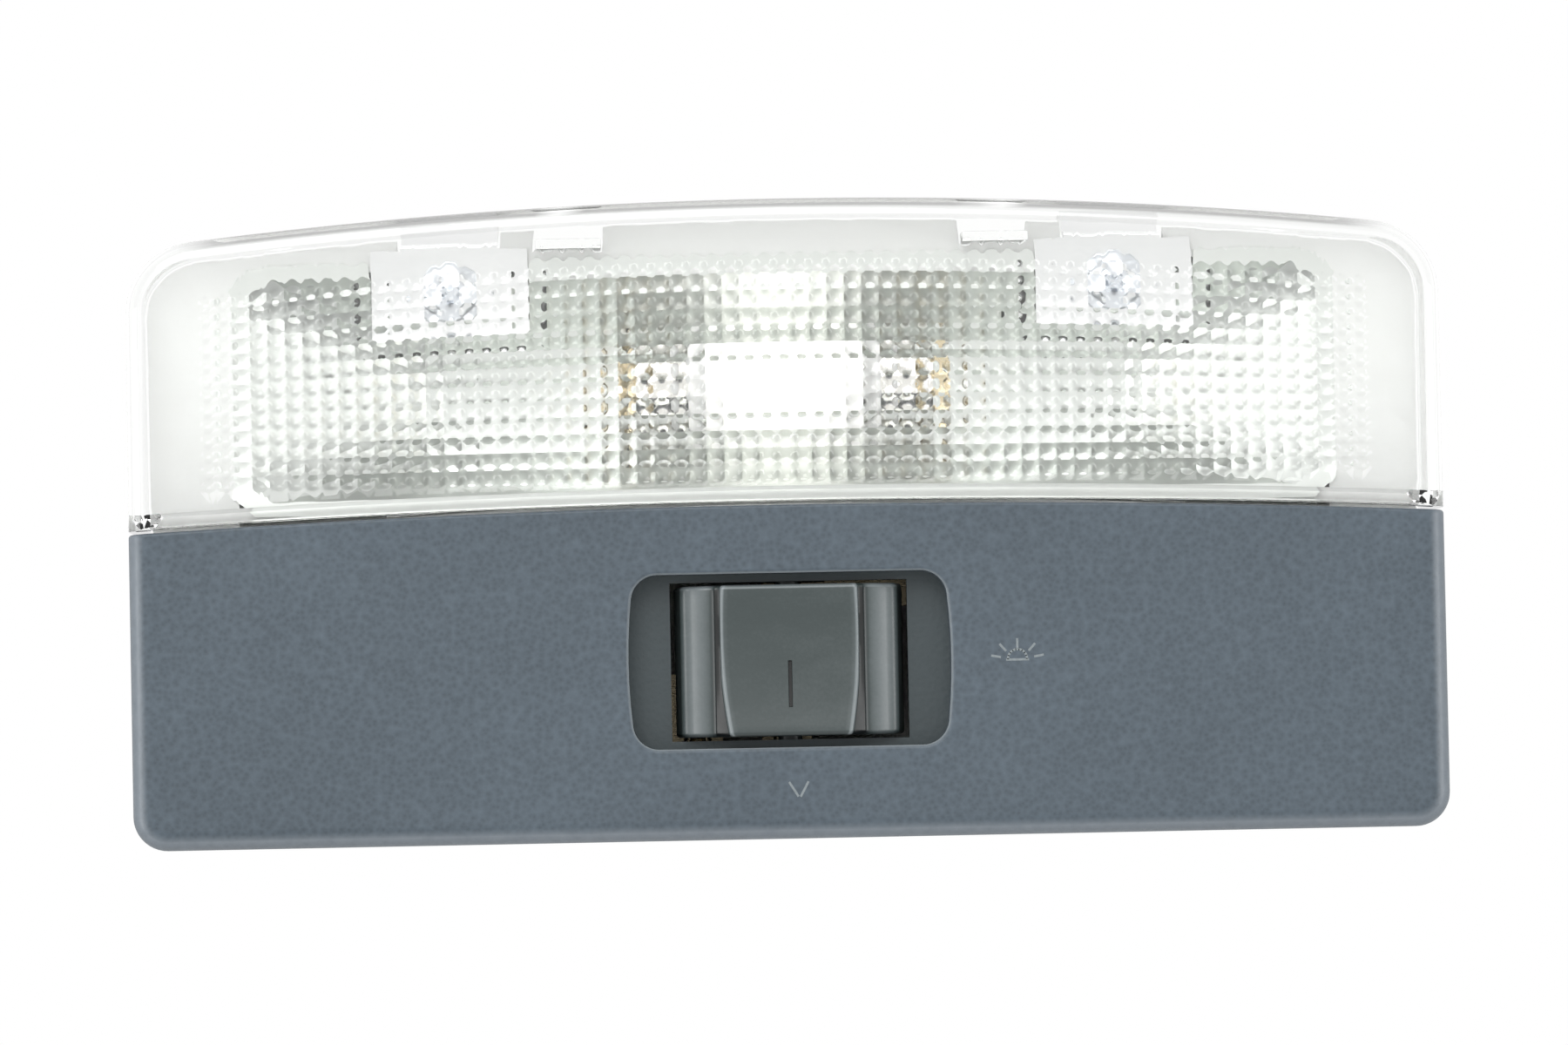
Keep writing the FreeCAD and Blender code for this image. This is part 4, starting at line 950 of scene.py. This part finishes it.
@dataclass
class Stamping:
    """Copies one small shape to marked places through a node tree."""

    name: str

    def tree(self) -> bpy.types.NodeTree:
        """Build the node tree: a stamp at every point, turned and sized by the point's own values."""
        tree = bpy.data.node_groups.new(self.name, "GeometryNodeTree")
        face = tree.interface
        face.new_socket("Geometry", in_out="INPUT", socket_type="NodeSocketGeometry")
        face.new_socket("Stamp", in_out="INPUT", socket_type="NodeSocketObject")
        face.new_socket("Material", in_out="INPUT", socket_type="NodeSocketMaterial")
        face.new_socket("Geometry", in_out="OUTPUT", socket_type="NodeSocketGeometry")
        nodes, links = tree.nodes, tree.links
        begin, end = nodes.new("NodeGroupInput"), nodes.new("NodeGroupOutput")
        shape = nodes.new("GeometryNodeObjectInfo")
        links.new(begin.outputs["Stamp"], shape.inputs["Object"])
        readers = {}
        for word in ("turn", "grow"):
            readers[word] = nodes.new("GeometryNodeInputNamedAttribute")
            readers[word].data_type = "FLOAT_VECTOR"
            readers[word].inputs["Name"].default_value = word
        spin = nodes.new("FunctionNodeEulerToRotation")
        links.new(readers["turn"].outputs[0], spin.inputs[0])
        copies = nodes.new("GeometryNodeInstanceOnPoints")
        links.new(begin.outputs["Geometry"], copies.inputs["Points"])
        links.new(shape.outputs["Geometry"], copies.inputs["Instance"])
        links.new(spin.outputs[0], copies.inputs["Rotation"])
        links.new(readers["grow"].outputs[0], copies.inputs["Scale"])
        real = nodes.new("GeometryNodeRealizeInstances")
        links.new(copies.outputs[0], real.inputs[0])
        dye = nodes.new("GeometryNodeSetMaterial")
        links.new(real.outputs[0], dye.inputs["Geometry"])
        links.new(begin.outputs["Material"], dye.inputs["Material"])
        links.new(dye.outputs[0], end.inputs[0])
        return tree

    def press(
        self,
        stamp: bpy.types.Object,
        places: Sequence[Sequence[float]],
        material: bpy.types.Material,
        turns: Optional[Sequence[Sequence[float]]] = None,
        sizes: Optional[Sequence[Sequence[float]]] = None,
    ) -> bpy.types.Object:
        """Copy the stamp to every place.

        Args:
            stamp: The shape, around its own origin; it is removed afterwards.
            places: Points in millimetres.
            material: Material of the copies.
            turns: Turn of each copy in radians.
            sizes: Factors of each copy.

        Returns:
            One plain mesh object with all copies.
        """
        holder = blank(self.name + "_places")
        holder.data.from_pydata([tuple(Vector(p) * MM) for p in places], [], [])
        count = len(places)
        given = {"turn": turns or [(0, 0, 0)] * count, "grow": sizes or [(1, 1, 1)] * count}
        for word, rows in given.items():
            mark = holder.data.attributes.new(word, "FLOAT_VECTOR", "POINT")
            mark.data.foreach_set("vector", [c for row in rows for c in row])
        tree = self.tree()
        copy = holder.modifiers.new("copies", "NODES")
        copy.node_group = tree
        set_inputs(copy, {"Stamp": stamp, "Material": material})
        made = blank(self.name, plain_mesh(holder))
        bpy.data.objects.remove(holder)
        bpy.data.objects.remove(stamp)
        return finished(made, material)


def turned_up(name: str, profile: Sequence[Point], steps: int = 40) -> bpy.types.Object:
    """Turn an open profile about Z into a closed shape.

    Args:
        name: The shape's name.
        profile: Points (radius, z) in millimetres, from axis to axis.
        steps: Segments around.

    Returns:
        The shape, around its own origin.
    """
    work = bmesh.new()
    rows = []
    for r, z in profile:
        if r < 1e-6:
            rows.append([work.verts.new((0, 0, z * MM))])
            continue
        ring = [2 * math.pi * k / steps for k in range(steps)]
        rows.append([work.verts.new((r * MM * math.cos(a), r * MM * math.sin(a), z * MM)) for a in ring])
    join_rows(work, rows, steps)
    return from_work(name, work)


@dataclass
class Fixings:
    """The two clip screws and the four tubular rivets of the strips."""

    screw_places: tuple[Point, ...] = ((-40.7, 28.3), (40.7, 28.3))
    screw_seat: float = 2.8
    head: float = 3.4
    head_high: float = 2.3
    slot_long: float = 2.9
    slot_wide: float = 0.85
    slot_deep: float = 1.9
    shank: float = 1.5
    length: float = 11.0
    rivet_places: tuple[Point, ...] = ((-21.3, -8.0), (21.3, 8.0), (0.0, -26.95), (-11.25, -26.95))
    rivet_shank: float = 1.2
    rivet_seat: float = -15.4
    rivet_head: float = 1.8
    rivet_high: float = 0.8
    rivet_bore: float = 0.6
    rivet_foot: float = -17.8

    def screws(self, material: bpy.types.Material) -> bpy.types.Object:
        """Make the cross-slotted pan screws.

        Args:
            material: Plated steel.

        Returns:
            One object with both screws.
        """
        r, h = self.head, self.head_high
        profile = [(0.0, h)]
        steps = 8
        for k in range(1, steps + 1):
            a = math.pi / 2 * k / steps
            profile.append((r * math.sin(a), h * 0.45 + h * 0.55 * math.cos(a)))
        profile += [(r, 0.15), (r - 0.15, 0.0), (self.shank, 0.0)]
        turns = 9
        for k in range(turns):
            z = -1.0 - 0.95 * k
            profile += [(self.shank - 0.35, z + 0.3), (self.shank, z), (self.shank - 0.35, z - 0.35)]
        profile += [(0.4, -self.length + 0.6), (0.0, -self.length)]
        stamp = turned_up("screw_stamp", profile)
        self.cut_recess(stamp)
        places = [(x, y, self.screw_seat) for x, y in self.screw_places]
        return Stamping("plate_screws").press(stamp, places, material, [(0, 0, 0.35), (0, 0, 0.9)])

    def cut_recess(self, stamp: bpy.types.Object) -> None:
        """Cut the tapered cross recess into a screw's head.

        Args:
            stamp: The screw, around its own origin.
        """
        work = bmesh.new()
        loops = []
        top, deep = self.head_high, self.slot_deep
        for z, share in ((top - deep, 0.55), (top + deep / 2, 1.225)):
            long, wide = self.slot_long / 2 * share, self.slot_wide / 2
            quarter = [(long, -wide), (long, wide), (wide, wide)]
            turns = [Matrix.Rotation(math.pi / 2 * k, 2) for k in range(4)]
            cross = [turn @ Vector(corner) for turn in turns for corner in quarter]
            loops.append([Vector((x, y, z)) * MM for x, y in cross])
        rings = add_loops(work, loops)
        work.faces.new(rings[0])
        work.faces.new(rings[-1])
        cutter = from_work("recess_cutter", work)
        cut = stamp.modifiers.new("recess", "BOOLEAN")
        cut.operation, cut.solver, cut.object = "DIFFERENCE", "EXACT", cutter
        made = plain_mesh(stamp)
        stamp.modifiers.remove(cut)
        stamp.data = made
        bpy.data.objects.remove(cutter)
        work = bmesh.new()
        work.from_mesh(made)
        bmesh.ops.remove_doubles(work, verts=work.verts[:], dist=1e-6)
        bmesh.ops.dissolve_degenerate(work, edges=work.edges[:], dist=1e-6)
        bmesh.ops.triangulate(work, faces=[face for face in work.faces if len(face.verts) > 4])
        work.to_mesh(made)
        work.free()

    def rivets(self, material: bpy.types.Material) -> bpy.types.Object:
        """Make the rivets with rolled heads and blind eyes.

        Args:
            material: Brass.

        Returns:
            One object with the four rivets.
        """
        r, h, bore = self.rivet_head, self.rivet_high, self.rivet_bore
        deep = self.rivet_foot - self.rivet_seat
        profile = [(0.0, -0.9), (bore * 0.7, -0.85), (bore, -0.6), (bore, h * 0.5)]
        steps = 8
        for k in range(1, steps + 1):
            a = math.pi * k / steps
            middle, reach = (r + bore) / 2, (r - bore) / 2
            profile.append((middle - reach * math.cos(a), h * 0.5 + h * 0.5 * math.sin(a)))
        profile += [(r - 0.08, 0.0), (self.rivet_shank, 0.0), (self.rivet_shank, deep + 0.15)]
        profile += [(self.rivet_shank - 0.15, deep), (0.0, deep)]
        stamp = turned_up("rivet_stamp", profile, 32)
        places = [(x, y, self.rivet_seat) for x, y in self.rivet_places]
        return Stamping("eyelet_rivets").press(stamp, places, material)


@dataclass
class Rocker:
    """Rocker cap: rounded wings, a dished centre grip with soft edges and an engraved index line."""

    y: float = -17.3
    pivot_z: float = 6.0
    length: float = 18.4
    end_radius: float = 14.0
    skirt: float = 1.4
    wing_low: float = 11.5
    wing_bend: float = 1.15
    wing_root: float = 12.35
    root_x: float = 9.0
    fillet: float = 0.75
    grip_high: float = 14.4
    grip_low: float = 13.25
    grip_half: float = 6.95
    dish_shift: float = 0.4
    soft: float = 0.5
    index_half: float = 0.19
    index_span: Point = (-23.0, -17.4)
    index_deep: float = 0.3
    pivot: float = 1.5
    pivot_long: float = 2.3
    flat_angle: float = 42.0

    def crown(self, y: float) -> float:
        """Height of the grip's dished top at a place along the rocker."""
        t = ((y - self.y) / (self.length / 2) - self.dish_shift) / (1 + self.dish_shift)
        return self.grip_low + (self.grip_high - self.grip_low) * t * t

    def section(self, y: float) -> list[tuple[float, float, float]]:
        """Right half of the section, from the skirt's foot to the middle.

        Args:
            y: Place along the rocker.

        Returns:
            Points (x, z) in millimetres, each with its share of painted highlight (1) or painted shade (-1).
        """
        foot = self.pivot_z + self.skirt
        bend = self.wing_bend

        def side(z: float) -> float:
            """Half the rocker's reach at a height."""
            return math.sqrt(self.end_radius**2 - (z - self.pivot_z) ** 2) - 0.02

        start = self.wing_low - bend
        # The third value of every point is painted light: above zero a painted highlight, below zero painted
        # shade.
        points = [(side(z), z, -0.4) for z in (foot, 8.2, 9.0, start)]
        for k in range(1, 9):
            a = math.pi / 2 * k / 8
            x, z = side(start) - bend * (1 - math.cos(a)), start + bend * math.sin(a)
            points.append((x, z, -0.1 + 0.07 * k))
        edge_x, edge_z, _ = points[-1]
        foot_x = self.root_x + self.fillet
        for k in range(1, 7):
            t = k / 6
            rise = 1 - (1 - t) ** 1.6
            x, z = edge_x + (foot_x - edge_x) * t, edge_z + (self.wing_root - edge_z) * rise
            points.append((x, z, 0.55 - 0.4 * t**3))
        for k in range(1, 7):
            a = math.pi / 2 * k / 6
            lift = 0.6 * self.fillet * (1 - math.cos(a))
            points.append((foot_x - self.fillet * math.sin(a), self.wing_root + lift, 0.1 - 0.15 * k))
        top = self.crown(y)
        soft = min(self.soft, (top - points[-1][1]) * 0.7)
        high = top - soft
        lean = (self.root_x - self.grip_half) / (self.grip_high - self.wing_root)
        wall = self.root_x - (high - self.wing_root) * lean
        points.append((wall + 0.12, high - 0.12, -0.7))
        points.append((wall, high, 0.1))
        for k in range(1, 7):
            a = math.pi / 2 * k / 6
            points.append((wall - soft * 0.8 * (1 - math.cos(a)), high + soft * math.sin(a), 0.9))
        flat = points[-1][0]
        points.append((flat - 0.2, top, 0.15))
        for x in (flat - 0.7, flat * 0.72, flat * 0.45, flat * 0.2, self.index_half + 0.06, self.index_half):
            points.append((x, top, 0.0))
        return points

    def rows(self) -> list[tuple[float, float]]:
        """Places along the rocker with the inset that rounds its ends."""
        half, soft = self.length / 2, 0.55
        rows = []
        for k in range(6):
            a = math.pi / 2 * k / 5
            rows.append((-half + soft * (1 - math.cos(a)), soft * (1 - math.sin(a))))
        span = 24
        for k in range(1, span):
            rows.append((-half + soft + (2 * half - 2 * soft) * k / span, 0.0))
        rows += [(-at, inset) for at, inset in reversed(rows[:6])]
        places = [(self.y + at, inset) for at, inset in rows]
        for end in self.index_span:
            places += [(end - 0.05, 0.0), (end + 0.05, 0.0)]
        return sorted(places)

    def cap(self, work: bmesh.types.BMesh) -> None:
        """Add the cap as a lofted closed skin."""
        low = self.pivot_z + self.skirt
        loops, marks = [], []
        for y, inset in self.rows():
            half = self.section(y)
            whole = half + [(-x, z, rub) for x, z, rub in reversed(half)]
            ring = []
            for x, z, rub in whole:
                shrink = 1 - inset / self.end_radius
                deep = z - inset if z > low + inset else z
                cut = abs(x) <= self.index_half + 1e-6 and self.index_span[0] <= y <= self.index_span[1]
                ring.append(Vector((x * shrink, y, deep - (self.index_deep if cut else 0.0))) * MM)
                # Painted light on the rounded ends: the lens-side end lighter, the far end darker.
                rounded = 0.0 if inset == 0.0 else (0.5 if y > self.y else -0.2)
                # The engraved index line gets full painted shade.
                marks.append(-1.0 if cut else rub + rounded)
            loops.append(ring)
        # Keep the painted light on each vertex for the rocker's material.
        layer = work.verts.layers.float.new("rub")
        rings = add_loops(work, loops)
        for vert, mark in zip((v for ring in rings for v in ring), marks):
            vert[layer] = mark
        work.faces.new(rings[0])
        work.faces.new(rings[-1])

    def build(self, material: bpy.types.Material) -> bpy.types.Object:
        """Make the rocker with its pivots and spring stem.

        Args:
            material: Satin plastic.

        Returns:
            The rocker object.
        """
        work = bmesh.new()
        self.cap(work)
        half = self.length / 2
        for sign in (-1, 1):
            made = bmesh.ops.create_cone(
                work,
                cap_ends=True,
                segments=24,
                radius1=self.pivot * MM,
                radius2=self.pivot * MM,
                depth=self.pivot_long * MM,
            )
            bmesh.ops.rotate(work, matrix=Matrix.Rotation(math.pi / 2, 3, "X"), verts=made["verts"])
            spot = Vector((0, self.y + sign * (half + 1.12), self.pivot_z)) * MM
            bmesh.ops.translate(work, vec=spot, verts=made["verts"])
            lug = sorted((self.y + sign * (half - 1.5), self.y + sign * half))
            add_box(work, (-2.6, lug[0], 3.6), (2.6, lug[1], 7.38), 0.3)
        add_box(work, (-3.4, self.y - 3.4, -1.2), (3.4, self.y + 3.4, 7.38), 0.3)
        return finished(from_work("rocker_cap", work), material, self.flat_angle)


@dataclass
class Marks:
    """Small pad-printed marks: a ray fan beside the recess and a tick below it."""

    face: float = 14.0
    thick: float = 0.02
    fan_place: Point = (27.6, -17.7)
    fan_radius: float = 1.15
    ray_length: float = 1.2
    ray_width: float = 0.28
    ray_angles: tuple[float, ...] = (10.0, 48.0, 90.0, 132.0, 170.0)
    tick_place: Point = (0.9, -33.1)

    def bar_stamp(self) -> bpy.types.Object:
        """A thin bar along X, around its own origin."""
        work = bmesh.new()
        add_box(work, (-0.5, -0.5, -self.thick / 2), (0.5, 0.5, self.thick / 2))
        return from_work("bar_stamp", work)

    def build(self, material: bpy.types.Material) -> bpy.types.Object:
        """Make both marks.

        Args:
            material: Pale ink.

        Returns:
            One object with both marks.
        """
        places, turns, sizes = [], [], []

        def bar(x: float, y: float, length: float, degrees: float) -> None:
            """Note one bar by its middle, length and turn."""
            places.append((x, y, self.face - self.thick / 2 + 0.012))
            turns.append((0.0, 0.0, math.radians(degrees)))
            sizes.append((length, self.ray_width, 1.0))

        fx, fy = self.fan_place
        for degrees in self.ray_angles:
            a = math.radians(degrees)
            reach = self.fan_radius + 0.45 + self.ray_length / 2
            bar(fx + reach * math.cos(a) * 1.2, fy + reach * math.sin(a) * 0.85, self.ray_length, degrees)
        arc = 9
        for k in range(arc):
            a = math.pi * (k + 0.5) / arc
            x, y = fx + self.fan_radius * math.cos(a), fy + self.fan_radius * math.sin(a)
            bar(x, y, 0.5, math.degrees(a) + 90)
        bar(fx, fy - 0.1, 2 * self.fan_radius + 0.5, 0.0)
        tx, ty = self.tick_place
        bar(tx - 0.75, ty + 0.1, 2.1, -58.0)
        bar(tx + 0.55, ty + 0.1, 2.1, 62.0)
        return Stamping("panel_marks").press(self.bar_stamp(), places, material, turns, sizes)


@dataclass
class Bulb:
    """Festoon bulb: blown glass tube, plated caps and a coiled filament."""

    y: float = 17.2
    z: float = -3.0
    length: float = 41.0
    radius: float = 5.25
    wall: float = 0.6
    tube: float = 21.0
    neck: float = 3.85
    shoulder: float = 2.2
    neck_in: float = 3.0
    wire: float = 0.11
    coil: float = 0.42
    coil_half: float = 6.0
    coil_turns: int = 22

    @property
    def centre(self) -> Vector:
        """The bulb's middle, in metres."""
        return Vector((0.0, self.y, self.z)) * MM

    def glass(self, material: bpy.types.Material) -> bpy.types.Object:
        """Make the glass tube with rounded shoulders.

        Args:
            material: Frosted glass.

        Returns:
            The glass object.
        """
        half = self.tube / 2
        end = half + self.shoulder + self.neck_in
        steps = 12
        outer: list[Point] = [(-end, self.neck), (-(half + self.shoulder), self.neck)]
        bend = []
        for k in range(1, steps):
            t = k / steps
            ease = t * t * (3 - 2 * t)
            bend.append((half + self.shoulder * (1 - t), self.neck + (self.radius - self.neck) * ease))
        outer += [(-x, r) for x, r in bend]
        outer += [(-half, self.radius), (0.0, self.radius), (half, self.radius)]
        outer += [(x, r) for x, r in reversed(bend)]
        outer += [(half + self.shoulder, self.neck), (end, self.neck)]
        inner = [(x, r - self.wall) for x, r in reversed(outer)]
        return turned("bulb_tube", outer + inner, self.centre, material, 64)

    def caps(self, material: bpy.types.Material) -> bpy.types.Object:
        """Make both plated end caps with their beads and conical tips.

        Args:
            material: Plated metal.

        Returns:
            One object with both caps.
        """
        work = bmesh.new()
        tip = self.length / 2
        profile = [
            (12.5, 4.12), (12.55, 4.22), (12.7, 4.25), (13.3, 4.25), (13.45, 4.12), (13.7, 4.12),
            (13.85, 4.25), (16.6, 4.25), (16.9, 4.2), (17.15, 4.05), (19.9, 1.75), (20.2, 1.55),
            (20.4, 1.2), (20.5, 0.7), (20.5, 0.0), (17.2, 0.0), (17.2, 3.95), (12.5, 3.95),
        ]
        steps = 48
        for sign in (-1, 1):
            rows = []
            for x, r in profile:
                spokes = steps if r else 1
                around = [2 * math.pi * k / spokes for k in range(spokes)]
                places = [Vector((sign * min(x, tip), r * math.cos(a), r * math.sin(a))) for a in around]
                rows.append([work.verts.new(self.centre + place * MM) for place in places])
            join_rows(work, rows + rows[:1], steps)
        return finished(from_work("bulb_caps", work), material)

    def filament(self, material: bpy.types.Material) -> bpy.types.Object:
        """Make the coiled filament and its lead wires from one swept line.

        Args:
            material: Bare tungsten.

        Returns:
            The filament object.
        """
        line = bpy.data.curves.new("filament_line", "CURVE")
        line.dimensions = "3D"
        line.bevel_depth = self.wire * MM
        line.bevel_resolution = 2
        line.use_fill_caps = True
        turns, half, coil = self.coil_turns, self.coil_half, self.coil
        points = [(-17.0, 0.0, 0.0), (-11.0, 0.0, 0.1), (-half - 0.6, 0.0, 0.1)]
        steps = turns * 10
        for k in range(steps + 1):
            a = 2 * math.pi * turns * k / steps
            points.append((-half + 2 * half * k / steps, coil * math.cos(a), coil * math.sin(a)))
        points += [(half + 0.6, 0.0, 0.1), (11.0, 0.0, 0.1), (17.0, 0.0, 0.0)]
        spline = line.splines.new("POLY")
        spline.points.add(len(points) - 1)
        for spot, (x, y, z) in zip(spline.points, points):
            spot.co = (*(self.centre + Vector((x, y, z)) * MM), 1.0)
        rough = bpy.data.objects.new("filament_line", line)
        bpy.context.scene.collection.objects.link(rough)
        made = blank("bulb_coil", plain_mesh(rough))
        bpy.data.objects.remove(rough)
        return finished(made, material, None)


@dataclass
class Studio:
    """White sweep, soft lights and the camera over the lamp."""

    floor_z: float = -18.05
    face: float = 14.0
    distance: float = 900.0
    tilt: float = 2.0
    lean: float = 1.0
    roll: float = 1.15
    scale: float = 0.1057
    centre: Point = (903.7, 594.0)

    def floor_material(self) -> bpy.types.Material:
        """White for the camera and for mirror and glass rays, and a plain diffuse floor otherwise."""
        desk = Desk("studio_floor")
        path = desk.tree.nodes.new("ShaderNodeLightPath")
        camera = Wire(desk, path.outputs["Is Camera Ray"])
        glossy = Wire(desk, path.outputs["Is Glossy Ray"])
        through = Wire(desk, path.outputs["Is Transmission Ray"])
        seen = (camera + glossy + through).clamp()
        dull = desk.node("ShaderNodeBsdfDiffuse", {}, {"Color": (0.86, 0.86, 0.86, 1.0)})
        white = desk.node("ShaderNodeEmission", {}, {"Color": (1.0, 1.0, 1.0, 1.0), "Strength": 1.0})
        desk.node_out(desk.node("ShaderNodeMixShader", {}, {0: seen, 1: dull, 2: white}))
        return desk.material

    def floor(self) -> bpy.types.Object:
        """Make the floor."""
        work = bmesh.new()
        bmesh.ops.create_grid(work, x_segments=8, y_segments=8, size=3.0)
        bmesh.ops.translate(work, vec=(0, 0, self.floor_z * MM), verts=work.verts[:])
        made = blank("studio_floor")
        work.to_mesh(made.data)
        work.free()
        made.data.materials.append(self.floor_material())
        return made

    def world(self) -> None:
        """Set an even white sky."""
        sky = bpy.data.worlds.new("studio_sky")
        bpy.context.scene.world = sky
        sky.use_nodes = True
        back = sky.node_tree.nodes["Background"]
        back.inputs["Color"].default_value = (1.0, 1.0, 1.0, 1.0)
        back.inputs["Strength"].default_value = 1.05

    def light(self, name: str, place: Sequence[float], size: float, power: float) -> None:
        """Add one square soft light that points at the lamp.

        Args:
            name: The light's name.
            place: Where it stands, in metres.
            size: Side of its square, in metres.
            power: Its power in watts.
        """
        lamp = bpy.data.lights.new(name, "AREA")
        lamp.shape = "SQUARE"
        lamp.size = size
        lamp.energy = power
        made = bpy.data.objects.new(name, lamp)
        bpy.context.scene.collection.objects.link(made)
        made.location = place
        made.rotation_euler = (-Vector(place)).to_track_quat("-Z", "Y").to_euler()

    def camera(self) -> None:
        """Put the camera where the photograph was taken from."""
        lens = bpy.data.cameras.new("view")
        lens.sensor_width = 36.0
        made = bpy.data.objects.new("view", lens)
        bpy.context.scene.collection.objects.link(made)
        bpy.context.scene.camera = made
        lean = Matrix.Rotation(math.radians(-self.lean), 4, "Y")
        tilt = Matrix.Rotation(math.radians(self.tilt), 4, "X")
        pose = lean @ tilt @ Matrix.Rotation(math.radians(-self.roll), 4, "Z")
        back = pose @ Vector((0, 0, self.distance))
        right, up = pose @ Vector((1, 0, 0)), pose @ Vector((0, 1, 0))
        shift_x = (900.0 - self.centre[0]) * self.scale
        shift_y = (self.centre[1] - 600.0) * self.scale
        place = Vector((0, 0, self.face)) + back + right * shift_x + up * shift_y
        made.matrix_world = Matrix.Translation(place * MM) @ pose
        lens.lens = 36.0 * self.distance / (1800.0 * self.scale)
        lens.clip_end = 20.0

    def build(self) -> None:
        """Make floor, sky, lights and camera."""
        self.floor()
        self.world()
        self.light("key", (-0.25, 0.7, 0.9), 0.8, 8.0)
        self.light("left", (-0.95, -0.1, 0.5), 0.55, 4.5)
        self.light("right", (0.95, -0.1, 0.5), 0.55, 4.0)
        self.camera()
        LOG.info("built studio")


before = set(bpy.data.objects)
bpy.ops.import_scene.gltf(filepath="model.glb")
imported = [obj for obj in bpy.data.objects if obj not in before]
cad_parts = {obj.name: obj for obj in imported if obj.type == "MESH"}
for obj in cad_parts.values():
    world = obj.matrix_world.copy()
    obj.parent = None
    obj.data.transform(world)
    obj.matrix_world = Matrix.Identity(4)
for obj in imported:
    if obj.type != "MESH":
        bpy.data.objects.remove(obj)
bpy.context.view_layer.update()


def main() -> None:
    """Build every piece in order."""
    logging.basicConfig(level=logging.INFO, format="%(name)s: %(message)s")
    bpy.context.scene.view_settings.view_transform = "Standard"
    # The panel's third colour is its painted edge highlight.
    panel = GrainedPlastic(
        "panel_plastic", (0.03, 0.042, 0.053), (0.063, 0.084, 0.104), (0.14, 0.16, 0.18), 0.46
    ).build()
    # The rocker's first colour is painted shade and its third a painted highlight.
    rocker = HandledPlastic(
        "rocker_plastic", (0.001, 0.002, 0.002), (0.03, 0.04, 0.04), (0.15, 0.17, 0.176)
    ).build()
    white = SmoothPlastic("white_plastic", (0.93, 0.935, 0.92), (0.96, 0.965, 0.955), 0.45).build()
    clear = ClearPlastic("clear_plastic", (0.988, 0.994, 0.986), 0.0).build()
    glass = FrostedGlass("bulb_glass", (0.95, 0.95, 0.94)).build()
    bright = Metal("reflector_metal", (0.83, 0.85, 0.825), (0.76, 0.78, 0.755), 0.38).build()
    ink = Ink("panel_ink", (0.155, 0.178, 0.188)).build()
    steel = Metal("spring_steel", (0.9, 0.9, 0.9), (0.8, 0.805, 0.81), 0.34).build()
    zinc = Metal("zinc_steel", (0.86, 0.88, 0.91), (0.74, 0.77, 0.82), 0.3, (1.0, 1.0, 1.0)).build()
    nickel = Metal("nickel_cap", (0.93, 0.915, 0.88), (0.85, 0.83, 0.79), 0.24, (20.0, 1.0, 1.0)).build()
    brass = Metal("contact_brass", (0.84, 0.73, 0.52), (0.68, 0.57, 0.38), 0.28).build()
    wire = Metal("tungsten", (0.34, 0.34, 0.35), (0.22, 0.22, 0.23), 0.4).build()
    nylon = SmoothPlastic("plunger_plastic", (0.66, 0.65, 0.6), (0.74, 0.73, 0.68), 0.4).build()

    dress("switch_panel", panel)
    dress("base_tray", white)
    dress("reflector", bright)
    for node in ("clip_left", "clip_right", "contact_spring"):
        dress(node, steel)
    for node in ("supply_strip", "return_strip", "door_strip", "ground_strip", "contact_bridge"):
        dress(node, brass)
    dress("contact_plunger", nylon)

    settle(Lens().build(clear), Body.LAMP, "clear_plastic", "lens")
    settle(Rocker().build(rocker), Body.SWITCH, "rocker_plastic", "rocker")
    settle(Marks().build(ink), Body.LAMP, "panel_plastic")
    fixings = Fixings()
    settle(fixings.screws(zinc), Body.LAMP, "zinc_steel", "clip_screws")
    settle(fixings.rivets(brass), Body.LAMP, "rivet_brass", "strip_rivets")
    bulb = Bulb()
    settle(bulb.glass(glass), Body.LAMP, "bulb_glass", "bulb_glass")
    settle(bulb.caps(nickel), Body.LAMP, "nickel_cap", "bulb_cap_left", "bulb_cap_right")
    settle(bulb.filament(wire), Body.LAMP, "tungsten", "bulb_filament")
    Studio().build()


if __name__ == "__main__":
    main()
